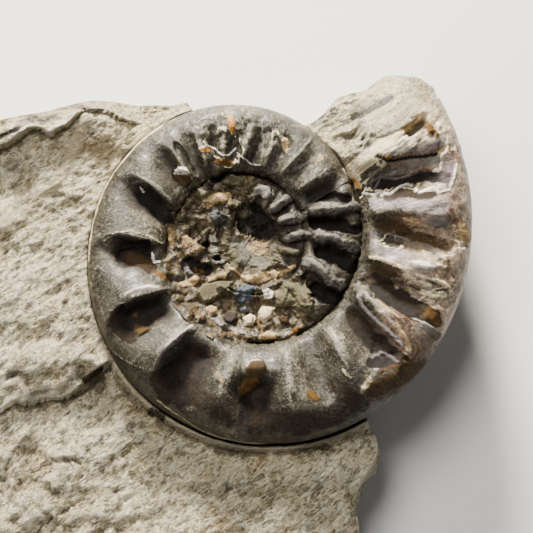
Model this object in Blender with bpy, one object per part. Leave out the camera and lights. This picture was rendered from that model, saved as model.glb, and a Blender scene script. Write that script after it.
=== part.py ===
"""Ammonite fossil: a ribbed coiled shell set in the piece of limestone matrix that it was found in.

Metres, +Z up. The origin is on the flat base, under the pole of the coil. The coil lies flat, its axis along +Z.
"""

import bisect
import math

import bmesh
import bpy
from mathutils import Vector, geometry, noise

MM = 0.001

# Coil: a logarithmic spiral, with angles counted along the growth of the shell
EDGE_RADIUS = 8.9 * MM
GROWTH = 0.107
LAST_DEG = 396.0
TURNS = 3
STEPS_PER_TURN = 96
CRUSH = 1.055
HALF_WIDTH_RATIO = 0.245
MID_HEIGHT = 9.0 * MM

# Whorl section: a squarish ellipse, read from its inner seam over the flank to the outer edge
SECTION_POWER = 0.84
SEAM_DEG = 15.0
COVER_DEG = 150.0
UPPER_STEPS = 6
LOWER_STEPS = 3
EDGE_STEPS = 2

# Nucleus: the small first chamber, a low dome a little off the pole
NUCLEUS_RISE = 0.25 * MM
NUCLEUS_SHIFT = 0.45 * MM

# Ribs: crests counted along the growth, close on the middle turn and wider on the last one
RIB_CRESTS_DEG = (
    -25, -1, 18, 40, 59, 74, 90, 104, 117, 131, 151, 178, 205, 232, 260, 286, 309, 331, 348, 367, 388, 408,
)
INNER_RIB_SPACING_DEG = 21.0
WIDEST_SPACING_DEG = 26.0
RIB_RELIEF = 0.092
RIB_CREST_SHARE = 0.34
RIB_ROUNDNESS = 0.8
RIB_LEAN_DEG = 8.0
LOWER_RIB_SHARE = 0.5

# Matrix: the broken outline of its upper face, clockwise from the back left corner, in mm from the coil's pole
MATRIX_OUTLINE_MM = (
    (-24.6, 9.2), (-19.4, 10.1), (-14.5, 11.0), (-11.6, 11.4), (-9.0, 11.1), (-6.3, 11.1), (-5.0, 11.2),
    (-4.3, 10.2), (-2.0, 9.4), (1.6, 9.6), (3.6, 10.2), (5.4, 10.3), (6.6, 11.3), (7.5, 12.3), (9.6, 12.7),
    (11.1, 13.7), (13.5, 13.2), (14.6, 12.6), (15.0, 11.3), (16.0, 9.4), (16.4, 7.0), (16.2, 3.0),
    (15.6, -1.0), (14.4, -4.6), (12.4, -8.2), (10.2, -11.4), (9.1, -13.5), (9.7, -14.5), (10.3, -15.1),
    (10.5, -16.2), (10.1, -17.5), (9.1, -19.0), (8.2, -20.4), (8.8, -21.3), (9.2, -22.4), (8.6, -24.2),
    (6.0, -26.2), (1.0, -27.6), (-6.0, -28.4), (-13.0, -27.8), (-19.4, -28.6), (-25.0, -27.0),
    (-28.2, -22.6), (-28.8, -16.0), (-28.2, -9.0), (-28.8, -2.0), (-27.6, 4.4),
)
MATRIX_CENTRE = Vector((-4.0, -5.0)) * MM
OUTSIDE = 100.0 * MM
MATRIX_RAYS = 90
TOP_RINGS = 10
SIDE_SHARES = (0.85, 0.6, 0.3, 0.0)
WIDEST_SHARE = 0.6
RIM_INSET = 0.035
BASE_INSET = 0.08
SHELTERED_INSET = 0.12
SHELTERED_DEGS = (-22.0, 26.0)
SHELTERED_FADE_DEG = 10.0
SIDE_ROUGHNESS = 0.06

# Matrix relief: its level behind and in front of the coil, then lumps, scoops and ledges on it, all in mm.
# Each is the place x, y, the half length and half width, the direction of its length and its rise.
BACK_LEVEL_MM = 0.35
FRONT_LEVEL_MM = -1.25
FALL_START_MM = -5.0
FALL_END_MM = -13.0
RELIEF_MM = (
    (-18.5, 11.0, 6.5, 2.6, 0.0, 1.7),
    (-15.8, 5.2, 3.6, 2.5, 25.0, -1.5),
    (-11.5, 9.5, 2.6, 1.6, -35.0, 0.7),
    (-24.0, 3.0, 4.0, 4.0, 0.0, -0.8),
    (-20.0, -3.0, 4.5, 2.0, -35.0, 0.5),
    (-12.2, -10.4, 1.3, 0.8, -40.0, -0.9),
    (-18.0, -10.2, 5.5, 1.9, 12.0, 1.1),
    (-21.0, -16.5, 6.0, 2.2, 40.0, 0.6),
    (-13.5, -17.5, 5.5, 1.5, 42.0, 0.5),
    (2.0, -17.6, 8.5, 1.3, 2.0, 0.7),
    (1.0, -14.2, 8.0, 1.0, 0.0, -0.5),
    (-5.0, -23.5, 7.0, 2.0, 15.0, 0.5),
    (13.0, 12.0, 4.2, 2.4, 35.0, 3.1),
    (7.6, 9.4, 3.0, 1.4, 30.0, -0.5),
)
RELIEF_NOISE = 0.45 * MM
RELIEF_NOISE_SIZE = 3.2 * MM
RIM_DROP = 0.9 * MM
RIM_DROP_START = 0.85

# Socket: the hollow in the matrix that holds the lower half of the coil, a clearance away from it
SOCKET_CLEARANCE = 0.32 * MM
SOCKET_SECTION_DEGS = (165.0, 150.0, 135.0, 120.0, 105.0, 90.0)
SOCKET_PAST_APERTURE_DEG = 2.2
SOCKET_STEPS = 64
SOCKET_TOP = 22.0 * MM
SOCKET_CENTRE_DEPTH = 2.4 * MM

SHELL_COLOUR = (0.052, 0.043, 0.036)
MATRIX_COLOUR = (0.36, 0.31, 0.24)


def smooth(low, high, value):
    """0 below low, 1 above high, and a smooth rise between them."""
    share = min(1.0, max(0.0, (value - low) / (high - low)))
    return share * share * (3.0 - 2.0 * share)


def rib_crests():
    """All the crest angles in radians, with evenly spaced ones for the inner turns."""
    crests = list(RIB_CRESTS_DEG)
    while crests[0] > LAST_DEG - 360.0 * (TURNS + 1):
        crests.insert(0, crests[0] - INNER_RIB_SPACING_DEG)
    return [math.radians(crest) for crest in crests]


CRESTS = rib_crests()


def edge_radius(angle):
    """The coil's outer radius at an angle along its growth."""
    return EDGE_RADIUS * math.exp(GROWTH * angle)


def on_coil(angle, radius, height):
    """A point at a radius of the slightly crushed coil."""
    return Vector((radius * math.cos(angle), CRUSH * radius * math.sin(angle), height))


def rib_height(angle, share, radius):
    """How far the ribs move the flank outwards. share is 0 at the inner seam and 1 at the outer edge."""
    leaning = angle - math.radians(RIB_LEAN_DEG) * max(0.0, 0.55 - share)
    after = min(len(CRESTS) - 1, max(1, bisect.bisect(CRESTS, leaning)))
    spacing = CRESTS[after] - CRESTS[after - 1]
    wave = 0.5 + 0.5 * math.cos(math.tau * (leaning - CRESTS[after - 1]) / spacing)
    strength = min(1.0, spacing / math.radians(WIDEST_SPACING_DEG))
    window = smooth(0.0, 0.16, share) * (1.0 - smooth(0.74, 0.97, share))
    return radius * RIB_RELIEF * strength * window * (wave**RIB_ROUNDNESS - 1.0 + RIB_CREST_SHARE)


def section_point(angle, turn_deg, side, ribbed=True):
    """A point of the shell: angle along the coil, turn_deg round the section, side 1 above and -1 below."""
    outer = edge_radius(angle)
    seam = edge_radius(angle - math.tau)
    cosine, sine = math.cos(math.radians(turn_deg)), math.sin(math.radians(turn_deg))
    across = math.copysign(abs(cosine) ** SECTION_POWER, cosine)
    up = abs(sine) ** SECTION_POWER
    reach = (outer - seam) / (1.0 + math.cos(math.radians(SEAM_DEG)) ** SECTION_POWER)
    radius = outer - reach * (1.0 + across)
    height = outer * HALF_WIDTH_RATIO * up
    if ribbed:
        lift = rib_height(angle, (radius - seam) / (outer - seam), outer)
        lift *= 1.0 if side > 0 else LOWER_RIB_SHARE
        radius -= lift * across * 0.5
        height += lift * up
    return on_coil(angle, radius, MID_HEIGHT + side * height)


def ring_angle(ring):
    """The coil's angle at a ring of vertices. The last ring is the aperture."""
    return math.radians(LAST_DEG) - math.tau * (TURNS - ring / STEPS_PER_TURN)


def flank_rows(shell, side, steps):
    """One side of the coil as rows of vertices. A row's last vertex is also the next turn's inner seam."""
    turn_degs = [SEAM_DEG + (COVER_DEG - SEAM_DEG) * step / steps for step in range(steps + 1)]
    rows = []
    for ring in range(TURNS * STEPS_PER_TURN + 1):
        angle = ring_angle(ring)
        inside = ring - STEPS_PER_TURN
        seam = rows[inside][-1] if inside >= 0 else shell.verts.new(section_point(angle, SEAM_DEG, side))
        rows.append([seam, *(shell.verts.new(section_point(angle, value, side)) for value in turn_degs[1:])])
    return rows


def edge_rows(shell, upper, lower):
    """Rows of vertices round the outer edge of the last turn, from its upper flank to its lower one."""
    step_deg = (180.0 - COVER_DEG) / EDGE_STEPS
    rows = []
    for ring in range((TURNS - 1) * STEPS_PER_TURN, TURNS * STEPS_PER_TURN + 1):
        row = [upper[ring][-1]]
        for step in range(1 - EDGE_STEPS, EDGE_STEPS):
            side = -1.0 if step > 0 else 1.0
            row.append(shell.verts.new(section_point(ring_angle(ring), 180.0 - abs(step) * step_deg, side)))
        rows.append([*row, lower[ring][-1]])
    return rows


def bridge(surface, rows):
    """Quads between neighbouring rows of vertices."""
    for row, after in zip(rows, rows[1:]):
        for low in range(len(row) - 1):
            surface.faces.new((row[low], row[low + 1], after[low + 1], after[low]))


def fan(surface, rim, centre):
    """Triangles from one vertex to each edge of a closed rim."""
    for vertex, after in zip(rim, rim[1:] + rim[:1]):
        surface.faces.new((vertex, after, centre))


def nucleus(shell, rows, side):
    """The dome over the start of the coil, its top on the open side of the first row."""
    rim = [row[0] for row in rows[:STEPS_PER_TURN]] + rows[0][:0:-1]
    height = sum(vertex.co.z for vertex in rim) / len(rim) + side * NUCLEUS_RISE
    fan(shell, rim, shell.verts.new(on_coil(ring_angle(0) - math.pi / 2.0, NUCLEUS_SHIFT, height)))


def closed_mesh(surface, name):
    """A mesh of triangles with its faces pointing out, from an edited surface that is closed."""
    bmesh.ops.triangulate(surface, faces=surface.faces)
    bmesh.ops.recalc_face_normals(surface, faces=surface.faces)
    mesh = bpy.data.meshes.new(name)
    surface.to_mesh(mesh)
    surface.free()
    return mesh


def ammonite_mesh():
    """The whole coil as one closed surface: both flanks, the outer edge of the last turn and the aperture."""
    shell = bmesh.new()
    upper = flank_rows(shell, 1.0, UPPER_STEPS)
    lower = flank_rows(shell, -1.0, LOWER_STEPS)
    edge = edge_rows(shell, upper, lower)
    for rows in (upper, lower, edge):
        bridge(shell, rows)
    nucleus(shell, upper, 1.0)
    nucleus(shell, lower, -1.0)
    shell.faces.new(upper[-1] + edge[-1][1:-1] + lower[-1][::-1] + edge[0][-2:0:-1])
    return closed_mesh(shell, "ammonite")


def socket_mesh():
    """A smooth spiral drum round the lower half of the coil, open to the sky, to be cut from the matrix."""
    drum = bmesh.new()
    last = math.radians(LAST_DEG + SOCKET_PAST_APERTURE_DEG)
    bottom = drum.verts.new((0.0, 0.0, MID_HEIGHT - SOCKET_CENTRE_DEPTH))
    lid = drum.verts.new((0.0, 0.0, SOCKET_TOP))
    rows = []
    for step in range(SOCKET_STEPS + 1):
        angle = last - math.tau * (1.0 - step / SOCKET_STEPS)
        outer = edge_radius(angle)
        rib_crest = outer * RIB_RELIEF * RIB_CREST_SHARE * LOWER_RIB_SHARE
        wall = outer + SOCKET_CLEARANCE
        row = [on_coil(angle, wall, SOCKET_TOP), on_coil(angle, wall, MID_HEIGHT)]
        for turn_deg in SOCKET_SECTION_DEGS:
            point = section_point(angle, turn_deg, -1.0, ribbed=False)
            outward = SOCKET_CLEARANCE * smooth(90.0, 150.0, turn_deg)
            point += on_coil(angle, outward, -SOCKET_CLEARANCE - rib_crest)
            row.append(point)
        rows.append([drum.verts.new(point) for point in row])
    bridge(drum, rows)
    bridge(drum, [rows[-1], rows[0]])
    for row, after in zip(rows, rows[1:]):
        drum.faces.new((row[0], after[0], lid))
        drum.faces.new((after[-1], row[-1], bottom))
    drum.faces.new((rows[-1][0], rows[0][0], lid))
    drum.faces.new((rows[0][-1], rows[-1][-1], bottom))
    return closed_mesh(drum, "socket")


def outline_point(turn):
    """The point of the matrix's outline in one direction from its centre."""
    corners = [Vector(corner) * MM for corner in MATRIX_OUTLINE_MM]
    far = MATRIX_CENTRE + Vector((math.cos(turn), math.sin(turn))) * OUTSIDE
    crossings = []
    for corner, following in zip(corners, corners[1:] + corners[:1]):
        crossing = geometry.intersect_line_line_2d(MATRIX_CENTRE, far, corner, following)
        if crossing:
            crossings.append(crossing)
    return max(crossings, key=lambda crossing: (crossing - MATRIX_CENTRE).length)


def relief(place):
    """The height of the matrix's upper face, from the broad level, its lumps and scoops and a little noise."""
    x, y = place.x / MM, place.y / MM
    height = FRONT_LEVEL_MM + (BACK_LEVEL_MM - FRONT_LEVEL_MM) * smooth(FALL_END_MM, FALL_START_MM, y)
    for lump_x, lump_y, half_length, half_width, turn_deg, rise in RELIEF_MM:
        cosine, sine = math.cos(math.radians(turn_deg)), math.sin(math.radians(turn_deg))
        along = ((x - lump_x) * cosine + (y - lump_y) * sine) / half_length
        aside = ((y - lump_y) * cosine - (x - lump_x) * sine) / half_width
        height += rise * (1.0 - smooth(0.0, 2.0, along * along + aside * aside))
    grain = noise.fractal(Vector((place.x, place.y, 0.0)) / RELIEF_NOISE_SIZE, 0.9, 2.1, 3)
    return MID_HEIGHT + height * MM + grain * RELIEF_NOISE


def side_inset(turn, share, outline):
    """How far the matrix's side draws in, as a share of its radius, at a share of its height."""
    turn_deg = (math.degrees(turn) + 180.0) % 360.0 - 180.0
    low, high = SHELTERED_DEGS
    sheltered = smooth(low - SHELTERED_FADE_DEG, low, turn_deg)
    sheltered *= 1.0 - smooth(high, high + SHELTERED_FADE_DEG, turn_deg)
    below = max(0.0, 1.0 - share / WIDEST_SHARE)
    above = max(0.0, (share - WIDEST_SHARE) / (1.0 - WIDEST_SHARE))
    grain = noise.fractal(Vector((*outline, share * MID_HEIGHT)) / RELIEF_NOISE_SIZE, 0.9, 2.1, 3)
    drawn_in = BASE_INSET * below**2 + RIM_INSET * above**2 + SHELTERED_INSET * sheltered
    return drawn_in + abs(grain) * SIDE_ROUGHNESS * (1.0 - above)


def matrix_mesh():
    """The block of matrix: rings over its upper face and down its broken sides to a flat base."""
    rock = bmesh.new()
    columns = []
    for ray in range(MATRIX_RAYS):
        turn = math.tau * ray / MATRIX_RAYS
        outline = outline_point(turn)
        rim = outline.lerp(MATRIX_CENTRE, side_inset(turn, 1.0, outline))
        column = []
        for ring in range(1, TOP_RINGS + 1):
            share = ring / TOP_RINGS
            place = MATRIX_CENTRE.lerp(rim, share)
            height = relief(place) - RIM_DROP * smooth(RIM_DROP_START, 1.0, share)
            column.append(rock.verts.new((place.x, place.y, height)))
        for share in SIDE_SHARES:
            place = outline.lerp(MATRIX_CENTRE, side_inset(turn, share, outline))
            column.append(rock.verts.new((place.x, place.y, height * share)))
        columns.append(column)
    bridge(rock, [*columns, columns[0]])
    middle = rock.verts.new((*MATRIX_CENTRE, relief(MATRIX_CENTRE)))
    fan(rock, [column[0] for column in columns], middle)
    rock.faces.new([column[-1] for column in columns])
    return closed_mesh(rock, "matrix")


def stone_material(name, colour, roughness):
    """A plain stone finish."""
    material = bpy.data.materials.new(name)
    material.use_nodes = True
    shader = material.node_tree.nodes["Principled BSDF"]
    shader.inputs["Base Color"].default_value = (*colour, 1.0)
    shader.inputs["Roughness"].default_value = roughness
    shader.inputs["Metallic"].default_value = 0.0
    return material


def linked(name, mesh, collection):
    """A new object for a mesh, in its collection."""
    made = bpy.data.objects.new(name, mesh)
    collection.objects.link(made)
    return made


def new_collection(name):
    """A new collection in the scene."""
    collection = bpy.data.collections.new(name)
    bpy.context.scene.collection.children.link(collection)
    return collection


def main():
    """Make the coil and the matrix, and cut the coil's socket from the matrix."""
    for old in list(bpy.data.objects):
        bpy.data.objects.remove(old, do_unlink=True)
    parts = new_collection("ammonite_fossil")
    cutters = new_collection("cutters")

    ammonite = linked("ammonite", ammonite_mesh(), parts)
    ammonite.data.materials.append(stone_material("calcite shell", SHELL_COLOUR, 0.35))

    socket = linked("socket", socket_mesh(), cutters)
    socket.hide_render = True
    socket.display_type = "WIRE"

    matrix = linked("matrix", matrix_mesh(), parts)
    matrix.data.materials.append(stone_material("limestone matrix", MATRIX_COLOUR, 0.85))
    cut = matrix.modifiers.new("socket", "BOOLEAN")
    cut.operation = "DIFFERENCE"
    cut.solver = "EXACT"
    cut.object = socket


main()
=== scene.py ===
# %% [markdown]
# # A ribbed ammonite in its limestone
#
# The object is a fossil about 46 mm long: a coiled shell of dark calcite, half sunk in a broken piece of
# pale limestone. Its solids are loaded as a fixed frame, and this script makes the three fine surfaces
# that stand for them: the last turn of the shell, the hollow of the coil with its older turns, and the
# rough stone. Each surface is a grid of points worked out with numpy, because a shell that grows is a
# formula, and a broken stone is a smooth form with ledges and grain added.

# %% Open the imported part
import math
from types import SimpleNamespace

import bmesh
import bpy
import numpy as np
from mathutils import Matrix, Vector, noise


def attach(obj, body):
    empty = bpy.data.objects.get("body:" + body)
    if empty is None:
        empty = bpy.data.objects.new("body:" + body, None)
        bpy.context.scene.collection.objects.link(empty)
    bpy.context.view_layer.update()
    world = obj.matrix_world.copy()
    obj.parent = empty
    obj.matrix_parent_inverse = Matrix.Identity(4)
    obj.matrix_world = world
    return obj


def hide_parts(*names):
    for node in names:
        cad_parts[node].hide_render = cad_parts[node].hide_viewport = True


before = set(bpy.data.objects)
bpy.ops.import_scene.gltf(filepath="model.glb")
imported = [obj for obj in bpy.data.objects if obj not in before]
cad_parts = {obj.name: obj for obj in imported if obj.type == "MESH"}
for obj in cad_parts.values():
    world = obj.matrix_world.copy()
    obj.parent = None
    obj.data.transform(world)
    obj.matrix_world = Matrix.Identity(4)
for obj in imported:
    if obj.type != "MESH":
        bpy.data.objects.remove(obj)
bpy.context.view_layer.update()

# %% [markdown]
# ## The coil as a formula
#
# The shell of an ammonite is a tube that grows by the same share with each turn, so its outer edge is a
# logarithmic spiral. All places on it are given by two numbers: the angle along the growth, and the share
# of the way over the flank, 0 at the inner seam and 1 at the outer edge. The script works in millimetres
# and goes to metres at the end.

# %% Measures of the coil, in millimetres and degrees
MM = 0.001
EDGE_RADIUS = 8.9
GROWTH = 0.107
FIRST_DEG = 30.0
LAST_DEG = 396.0
MID_HEIGHT = 9.0
# the coil is pressed a little oval, longer along Y
CRUSH = 1.055
# half the tube's thickness as a share of its outer radius, and the power that makes its section squarish
HALF_WIDTH = 0.245
SECTION_POWER = 0.84
# the end of the section that the turn before hides
SEAM_DEG = 15.0
SEAM_ACROSS = math.cos(math.radians(SEAM_DEG)) ** SECTION_POWER


def edge_radius(angle):
    """The coil's outer radius at an angle in radians."""
    return EDGE_RADIUS * np.exp(GROWTH * angle)


print("the last turn grows from", round(float(edge_radius(math.radians(FIRST_DEG))), 1), "to",
      round(float(edge_radius(math.radians(LAST_DEG))), 1), "mm")

# %% [markdown]
# ## Soft steps and noise
#
# Nothing on a fossil changes at a sharp line, so forms and colours fade in by a smooth step. And nothing
# on it is plain: each form gets some fractal noise, a sum of finer and finer lumps, which is also what
# makes rims ragged.

# %% Steps, spans and grain
NOISE_FALL = 0.9
NOISE_STEP = 2.1
NOISE_SHIFT = (1.0, 1.7, 0.6)


def smooth(low, high, value):
    """0 below low, 1 above high, and a smooth rise between them. A low above high turns it round."""
    share = np.clip((value - low) / (high - low), 0.0, 1.0)
    return share * share * (3.0 - 2.0 * share)


def span(value, rise, fall):
    """1 over a stretch, with a smooth rise before it and a smooth fall after it."""
    return smooth(*rise, value) * (1.0 - smooth(*fall, value))


def grain(points, size, octaves=3, seed=0.0):
    """Fractal noise, about -1 to 1, at each point. Its lumps are about as wide as size."""
    shift = Vector([part * seed for part in NOISE_SHIFT])
    flat = (np.asarray(points) / size).reshape(-1, 3)
    values = [noise.fractal(Vector(point) + shift, NOISE_FALL, NOISE_STEP, octaves) for point in flat]
    return np.array(values).reshape(np.shape(points)[:-1])


def relief(points, layers):
    """A sum of noises in mm. Each layer is its lumps' size and depth, its octaves and its seed."""
    return sum(depth * grain(points, size, octaves, seed) for size, depth, octaves, seed in layers)


print("a step is", float(smooth(0.0, 1.0, 0.25)), "high at a quarter of its way")

# %% [markdown]
# ## The view
#
# The stone lies on the table and the camera looks down on it, a little from the front, as in the
# photograph. A long lens keeps the coil round. The camera comes first, so that each new piece can be
# judged in the final frame.

# %% Camera
VIEW_ELEVATION_DEG = 80.4
VIEW_DISTANCE = 180.0
VIEW_WIDTH = 41.64
SENSOR = 36.0
CLIP_START = 0.01
VIEW_CENTRE = Vector((1.453, -1.69, MID_HEIGHT))

camera_data = bpy.data.cameras.new("camera")
camera_data.sensor_width = SENSOR
camera_data.lens = SENSOR * VIEW_DISTANCE / VIEW_WIDTH
camera_data.clip_start = CLIP_START
camera = bpy.data.objects.new("camera", camera_data)
bpy.context.scene.collection.objects.link(camera)
tilt = math.radians(90.0 - VIEW_ELEVATION_DEG)
camera.location = (VIEW_CENTRE + Vector((0.0, -math.sin(tilt), math.cos(tilt))) * VIEW_DISTANCE) * MM
camera.rotation_euler = (tilt, 0.0, 0.0)
bpy.context.scene.camera = camera
print("lens", round(camera_data.lens, 1), "mm")

# %% [markdown]
# ## Soft studio light
#
# The photograph is lit by one soft lamp from behind the stone and low enough to rake over the ribs, so
# each rib has a bright side and a dark hollow in front of it. A small lamp far behind does that. A large
# one overhead softens it, a weak one from the front opens the shadows, and the world gives a little even
# light.

# %% Lamps, world and floor
LAMPS = (
    # name, place in mm, size in mm, power in watts, colour
    ("key lamp", (-25.0, 170.0, 92.0), 46.0, 1.30, (1.0, 0.955, 0.87)),
    ("top lamp", (-60.0, 60.0, 220.0), 110.0, 0.52, (1.0, 0.97, 0.92)),
    ("front lamp", (60.0, -170.0, 160.0), 140.0, 0.05, (0.95, 0.97, 1.0)),
)
WORLD_COLOUR = (0.9, 0.95, 1.0, 1.0)
WORLD_STRENGTH = 0.10
VIEW_LOOK = "AgX - Medium High Contrast"
VIEW_EXPOSURE = -0.1
FLOOR_SIZE = 2.0

for lamp_name, place, size, power, colour in LAMPS:
    lamp_data = bpy.data.lights.new(lamp_name, "AREA")
    lamp_data.shape = "DISK"
    lamp_data.size = size * MM
    lamp_data.energy = power
    lamp_data.color = colour
    lamp = bpy.data.objects.new(lamp_name, lamp_data)
    lamp.location = Vector(place) * MM
    aim = Vector((0.0, 0.0, MID_HEIGHT)) * MM - lamp.location
    lamp.rotation_euler = aim.to_track_quat("-Z", "Y").to_euler()
    bpy.context.scene.collection.objects.link(lamp)

world = bpy.context.scene.world or bpy.data.worlds.new("studio")
bpy.context.scene.world = world
world.use_nodes = True
world.node_tree.nodes["Background"].inputs["Color"].default_value = WORLD_COLOUR
world.node_tree.nodes["Background"].inputs["Strength"].default_value = WORLD_STRENGTH

bpy.context.scene.view_settings.look = VIEW_LOOK
bpy.context.scene.view_settings.exposure = VIEW_EXPOSURE

bpy.ops.mesh.primitive_plane_add(size=FLOOR_SIZE)
floor = bpy.context.object
floor.name = "floor"
print(len(LAMPS), "lamps")

# %% [markdown]
# ## Writing materials as sums
#
# A stone's colour is a mixture: a ground colour, worn crests, stains and specks. It reads best as
# arithmetic. The class below wraps a socket of a material, and its operators add the Math nodes. Every
# other node comes from one method of the finish that it belongs to.

# %% A value that varies over a surface
class Value:
    """A socket of a material with arithmetic on it."""

    def __init__(self, finish, socket):
        self.finish = finish
        self.socket = socket

    def math(self, operation, *values):
        return self.finish.node("ShaderNodeMath", {"operation": operation}, dict(enumerate(values)))

    def __add__(self, other):
        return self.math("ADD", self, other)

    __radd__ = __add__

    def __sub__(self, other):
        return self.math("SUBTRACT", self, other)

    def __rsub__(self, other):
        return self.math("SUBTRACT", other, self)

    def __mul__(self, other):
        return self.math("MULTIPLY", self, other)

    __rmul__ = __mul__

    def between(self, low, high):
        """0 at low, 1 at high, and smooth between. A low above high turns it round."""
        sockets = {"Value": self, "From Min": low, "From Max": high}
        return self.finish.node("ShaderNodeMapRange", {"interpolation_type": "SMOOTHSTEP"}, sockets)


print("values know how to add, subtract and multiply")

# %% The finish that a value belongs to
# a Mix node has sockets for every kind of data, and these are the numbers of its colour ones
MIX_FACTOR, MIX_UNDER, MIX_OVER, MIX_RESULT = 0, 6, 7, 2
EVEN = (1.0, 1.0, 1.0)


class Finish:
    """One material, built node by node."""

    def __init__(self, name):
        self.material = bpy.data.materials.new(name)
        self.material.use_nodes = True
        self.tree = self.material.node_tree
        self.shader = self.tree.nodes["Principled BSDF"]
        self.place = self.node("ShaderNodeTexCoord", {}, {}, "Object")

    def node(self, kind, settings, sockets, output=0):
        """Any node: its settings first, then the values or links of its sockets."""
        made = self.tree.nodes.new(kind)
        for setting, value in settings.items():
            setattr(made, setting, value)
        for name, value in sockets.items():
            self.feed(made.inputs[name], value)
        return Value(self, made.outputs[output])

    def feed(self, socket, value):
        """Link a Value to a socket, or set a plain value on it."""
        if isinstance(value, Value):
            self.tree.links.new(value.socket, socket)
        elif isinstance(value, tuple) and len(socket.default_value) == 4:
            socket.default_value = (*value, 1.0)
        else:
            socket.default_value = value

    def mask(self, name):
        """A number that the mesh carries at its points."""
        return self.node("ShaderNodeAttribute", {"attribute_name": name}, {}, "Fac")

    def colours(self, name):
        """A colour that the mesh carries at its points."""
        return self.node("ShaderNodeAttribute", {"attribute_name": name}, {}, "Color")

    def noise(self, vector, scale, detail, roughness):
        """Fractal noise from 0 to 1 on a vector."""
        sockets = {"Vector": vector, "Scale": scale, "Detail": detail, "Roughness": roughness}
        return self.node("ShaderNodeTexNoise", {}, sockets)

    def speckle(self, size, detail, roughness, stretch=EVEN, turn_deg=0.0):
        """Noise from 0 to 1 with lumps of about this size in mm, stretched along a direction."""
        turn = (0.0, 0.0, math.radians(turn_deg))
        sockets = {"Vector": self.place, "Scale": tuple(1.0 / part for part in stretch), "Rotation": turn}
        vector = self.node("ShaderNodeMapping", {"vector_type": "TEXTURE"}, sockets)
        return self.noise(vector, 1.0 / (size * MM), detail, roughness)

    def mix(self, mask, under, over, blend="MIX"):
        """One colour over another where the mask is 1, or another blend of the two."""
        sockets = {MIX_FACTOR: mask, MIX_UNDER: under, MIX_OVER: over}
        return self.node("ShaderNodeMix", {"data_type": "RGBA", "blend_type": blend}, sockets, MIX_RESULT)

    def bump(self, height, depth, strength, normal=None):
        """A fine relief of this depth in mm."""
        sockets = {"Height": height, "Distance": depth * MM, "Strength": strength}
        if normal:
            sockets["Normal"] = normal
        return self.node("ShaderNodeBump", {}, sockets)

    def wear(self, **sockets):
        """Feed the shader's own sockets."""
        for name, value in sockets.items():
            self.feed(self.shader.inputs[name.replace("_", " ")], value)


pale_floor = Finish("pale floor")
pale_floor.wear(Base_Color=(0.72, 0.71, 0.69), Roughness=0.7)
floor.data.materials.append(pale_floor.material)
print("floor finish ready")

# %% [markdown]
# ## From a grid of points to a mesh
#
# Each piece here is a grid that closes one way, as a tube or a ring of profiles does. One helper turns
# such a grid into a closed mesh: quads between the points, and at each open end a fan of triangles to a
# middle point. The mesh keeps the masks that the finishes read, such as how deep in a hollow a point
# lies.

# %% Grid to mesh
def grid_faces(rows, columns, rows_close):
    """The quads of a grid whose rows, or else whose columns, close on themselves."""
    row = np.arange(rows if rows_close else rows - 1)
    column = np.arange(columns - 1 if rows_close else columns)
    row, column = (part.ravel() for part in np.meshgrid(row, column, indexing="ij"))
    next_row, next_column = (row + 1) % rows, (column + 1) % columns
    corners = ((row, column), (next_row, column), (next_row, next_column), (row, next_column))
    return np.stack([line * columns + place for line, place in corners], axis=1).tolist()


def fan_faces(rows, columns, rows_close):
    """The triangles from the grid's two open ends to the two middle points, numbered after its own."""
    numbers = np.arange(rows * columns).reshape(rows, columns)
    start, end = (numbers[:, 0], numbers[:, -1]) if rows_close else (numbers[0], numbers[-1])
    fans = []
    for line, middle in ((start, rows * columns), (end[::-1], rows * columns + 1)):
        fans.append(np.stack([line, np.roll(line, -1), np.full_like(line, middle)], axis=1))
    return np.concatenate(fans).tolist()


def point_masks(mesh, masks):
    """Store each mask at the mesh's points. The two middle points take the values of the grid's corners."""
    for name, values in masks.items():
        values = np.asarray(values, dtype=np.float32)
        values = values.reshape(len(mesh.vertices) - 2, -1)
        values = np.concatenate([values, values[:1], values[-1:]])
        kind, field = ("FLOAT", "value") if values.shape[1] == 1 else ("FLOAT_COLOR", "color")
        mesh.attributes.new(name, kind, "POINT").data.foreach_set(field, values.ravel())


def make_piece(name, points, middles, rows_close, masks, finish, node):
    """A named piece on the part's one body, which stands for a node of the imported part."""
    rows, columns = points.shape[:2]
    faces = grid_faces(rows, columns, rows_close) + fan_faces(rows, columns, rows_close)
    mesh = bpy.data.meshes.new(name)
    mesh.from_pydata((np.concatenate([points.reshape(-1, 3), middles]) * MM).tolist(), [], faces)
    point_masks(mesh, masks)
    editing = bmesh.new()
    editing.from_mesh(mesh)
    bmesh.ops.recalc_face_normals(editing, faces=editing.faces)
    editing.to_mesh(mesh)
    editing.free()
    mesh.shade_smooth()
    mesh.materials.append(finish.material)
    piece = bpy.data.objects.new(name, mesh)
    bpy.context.scene.collection.objects.link(piece)
    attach(piece, "root")
    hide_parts(node)
    mesh.calc_loop_triangles()
    print(name, len(mesh.loop_triangles), "triangles")


print("a ring of 8 points by 3 has", len(grid_faces(8, 3, True)) + len(fan_faces(8, 3, True)), "faces")

# %% [markdown]
# ## Ribs and hollows
#
# The ribs are not evenly spaced: they stand close on the upper part of the last turn and wide on the
# left. So the crests are a list of angles, and between two crests lies one hollow with its own depth and
# its own start and end on the flank. Across a hollow the depth is a wave. It is skewed, so that the side
# of a rib that faces away from the light is steep and the lit side slopes, and the ribs bend forwards a
# little at both of their ends.

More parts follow.
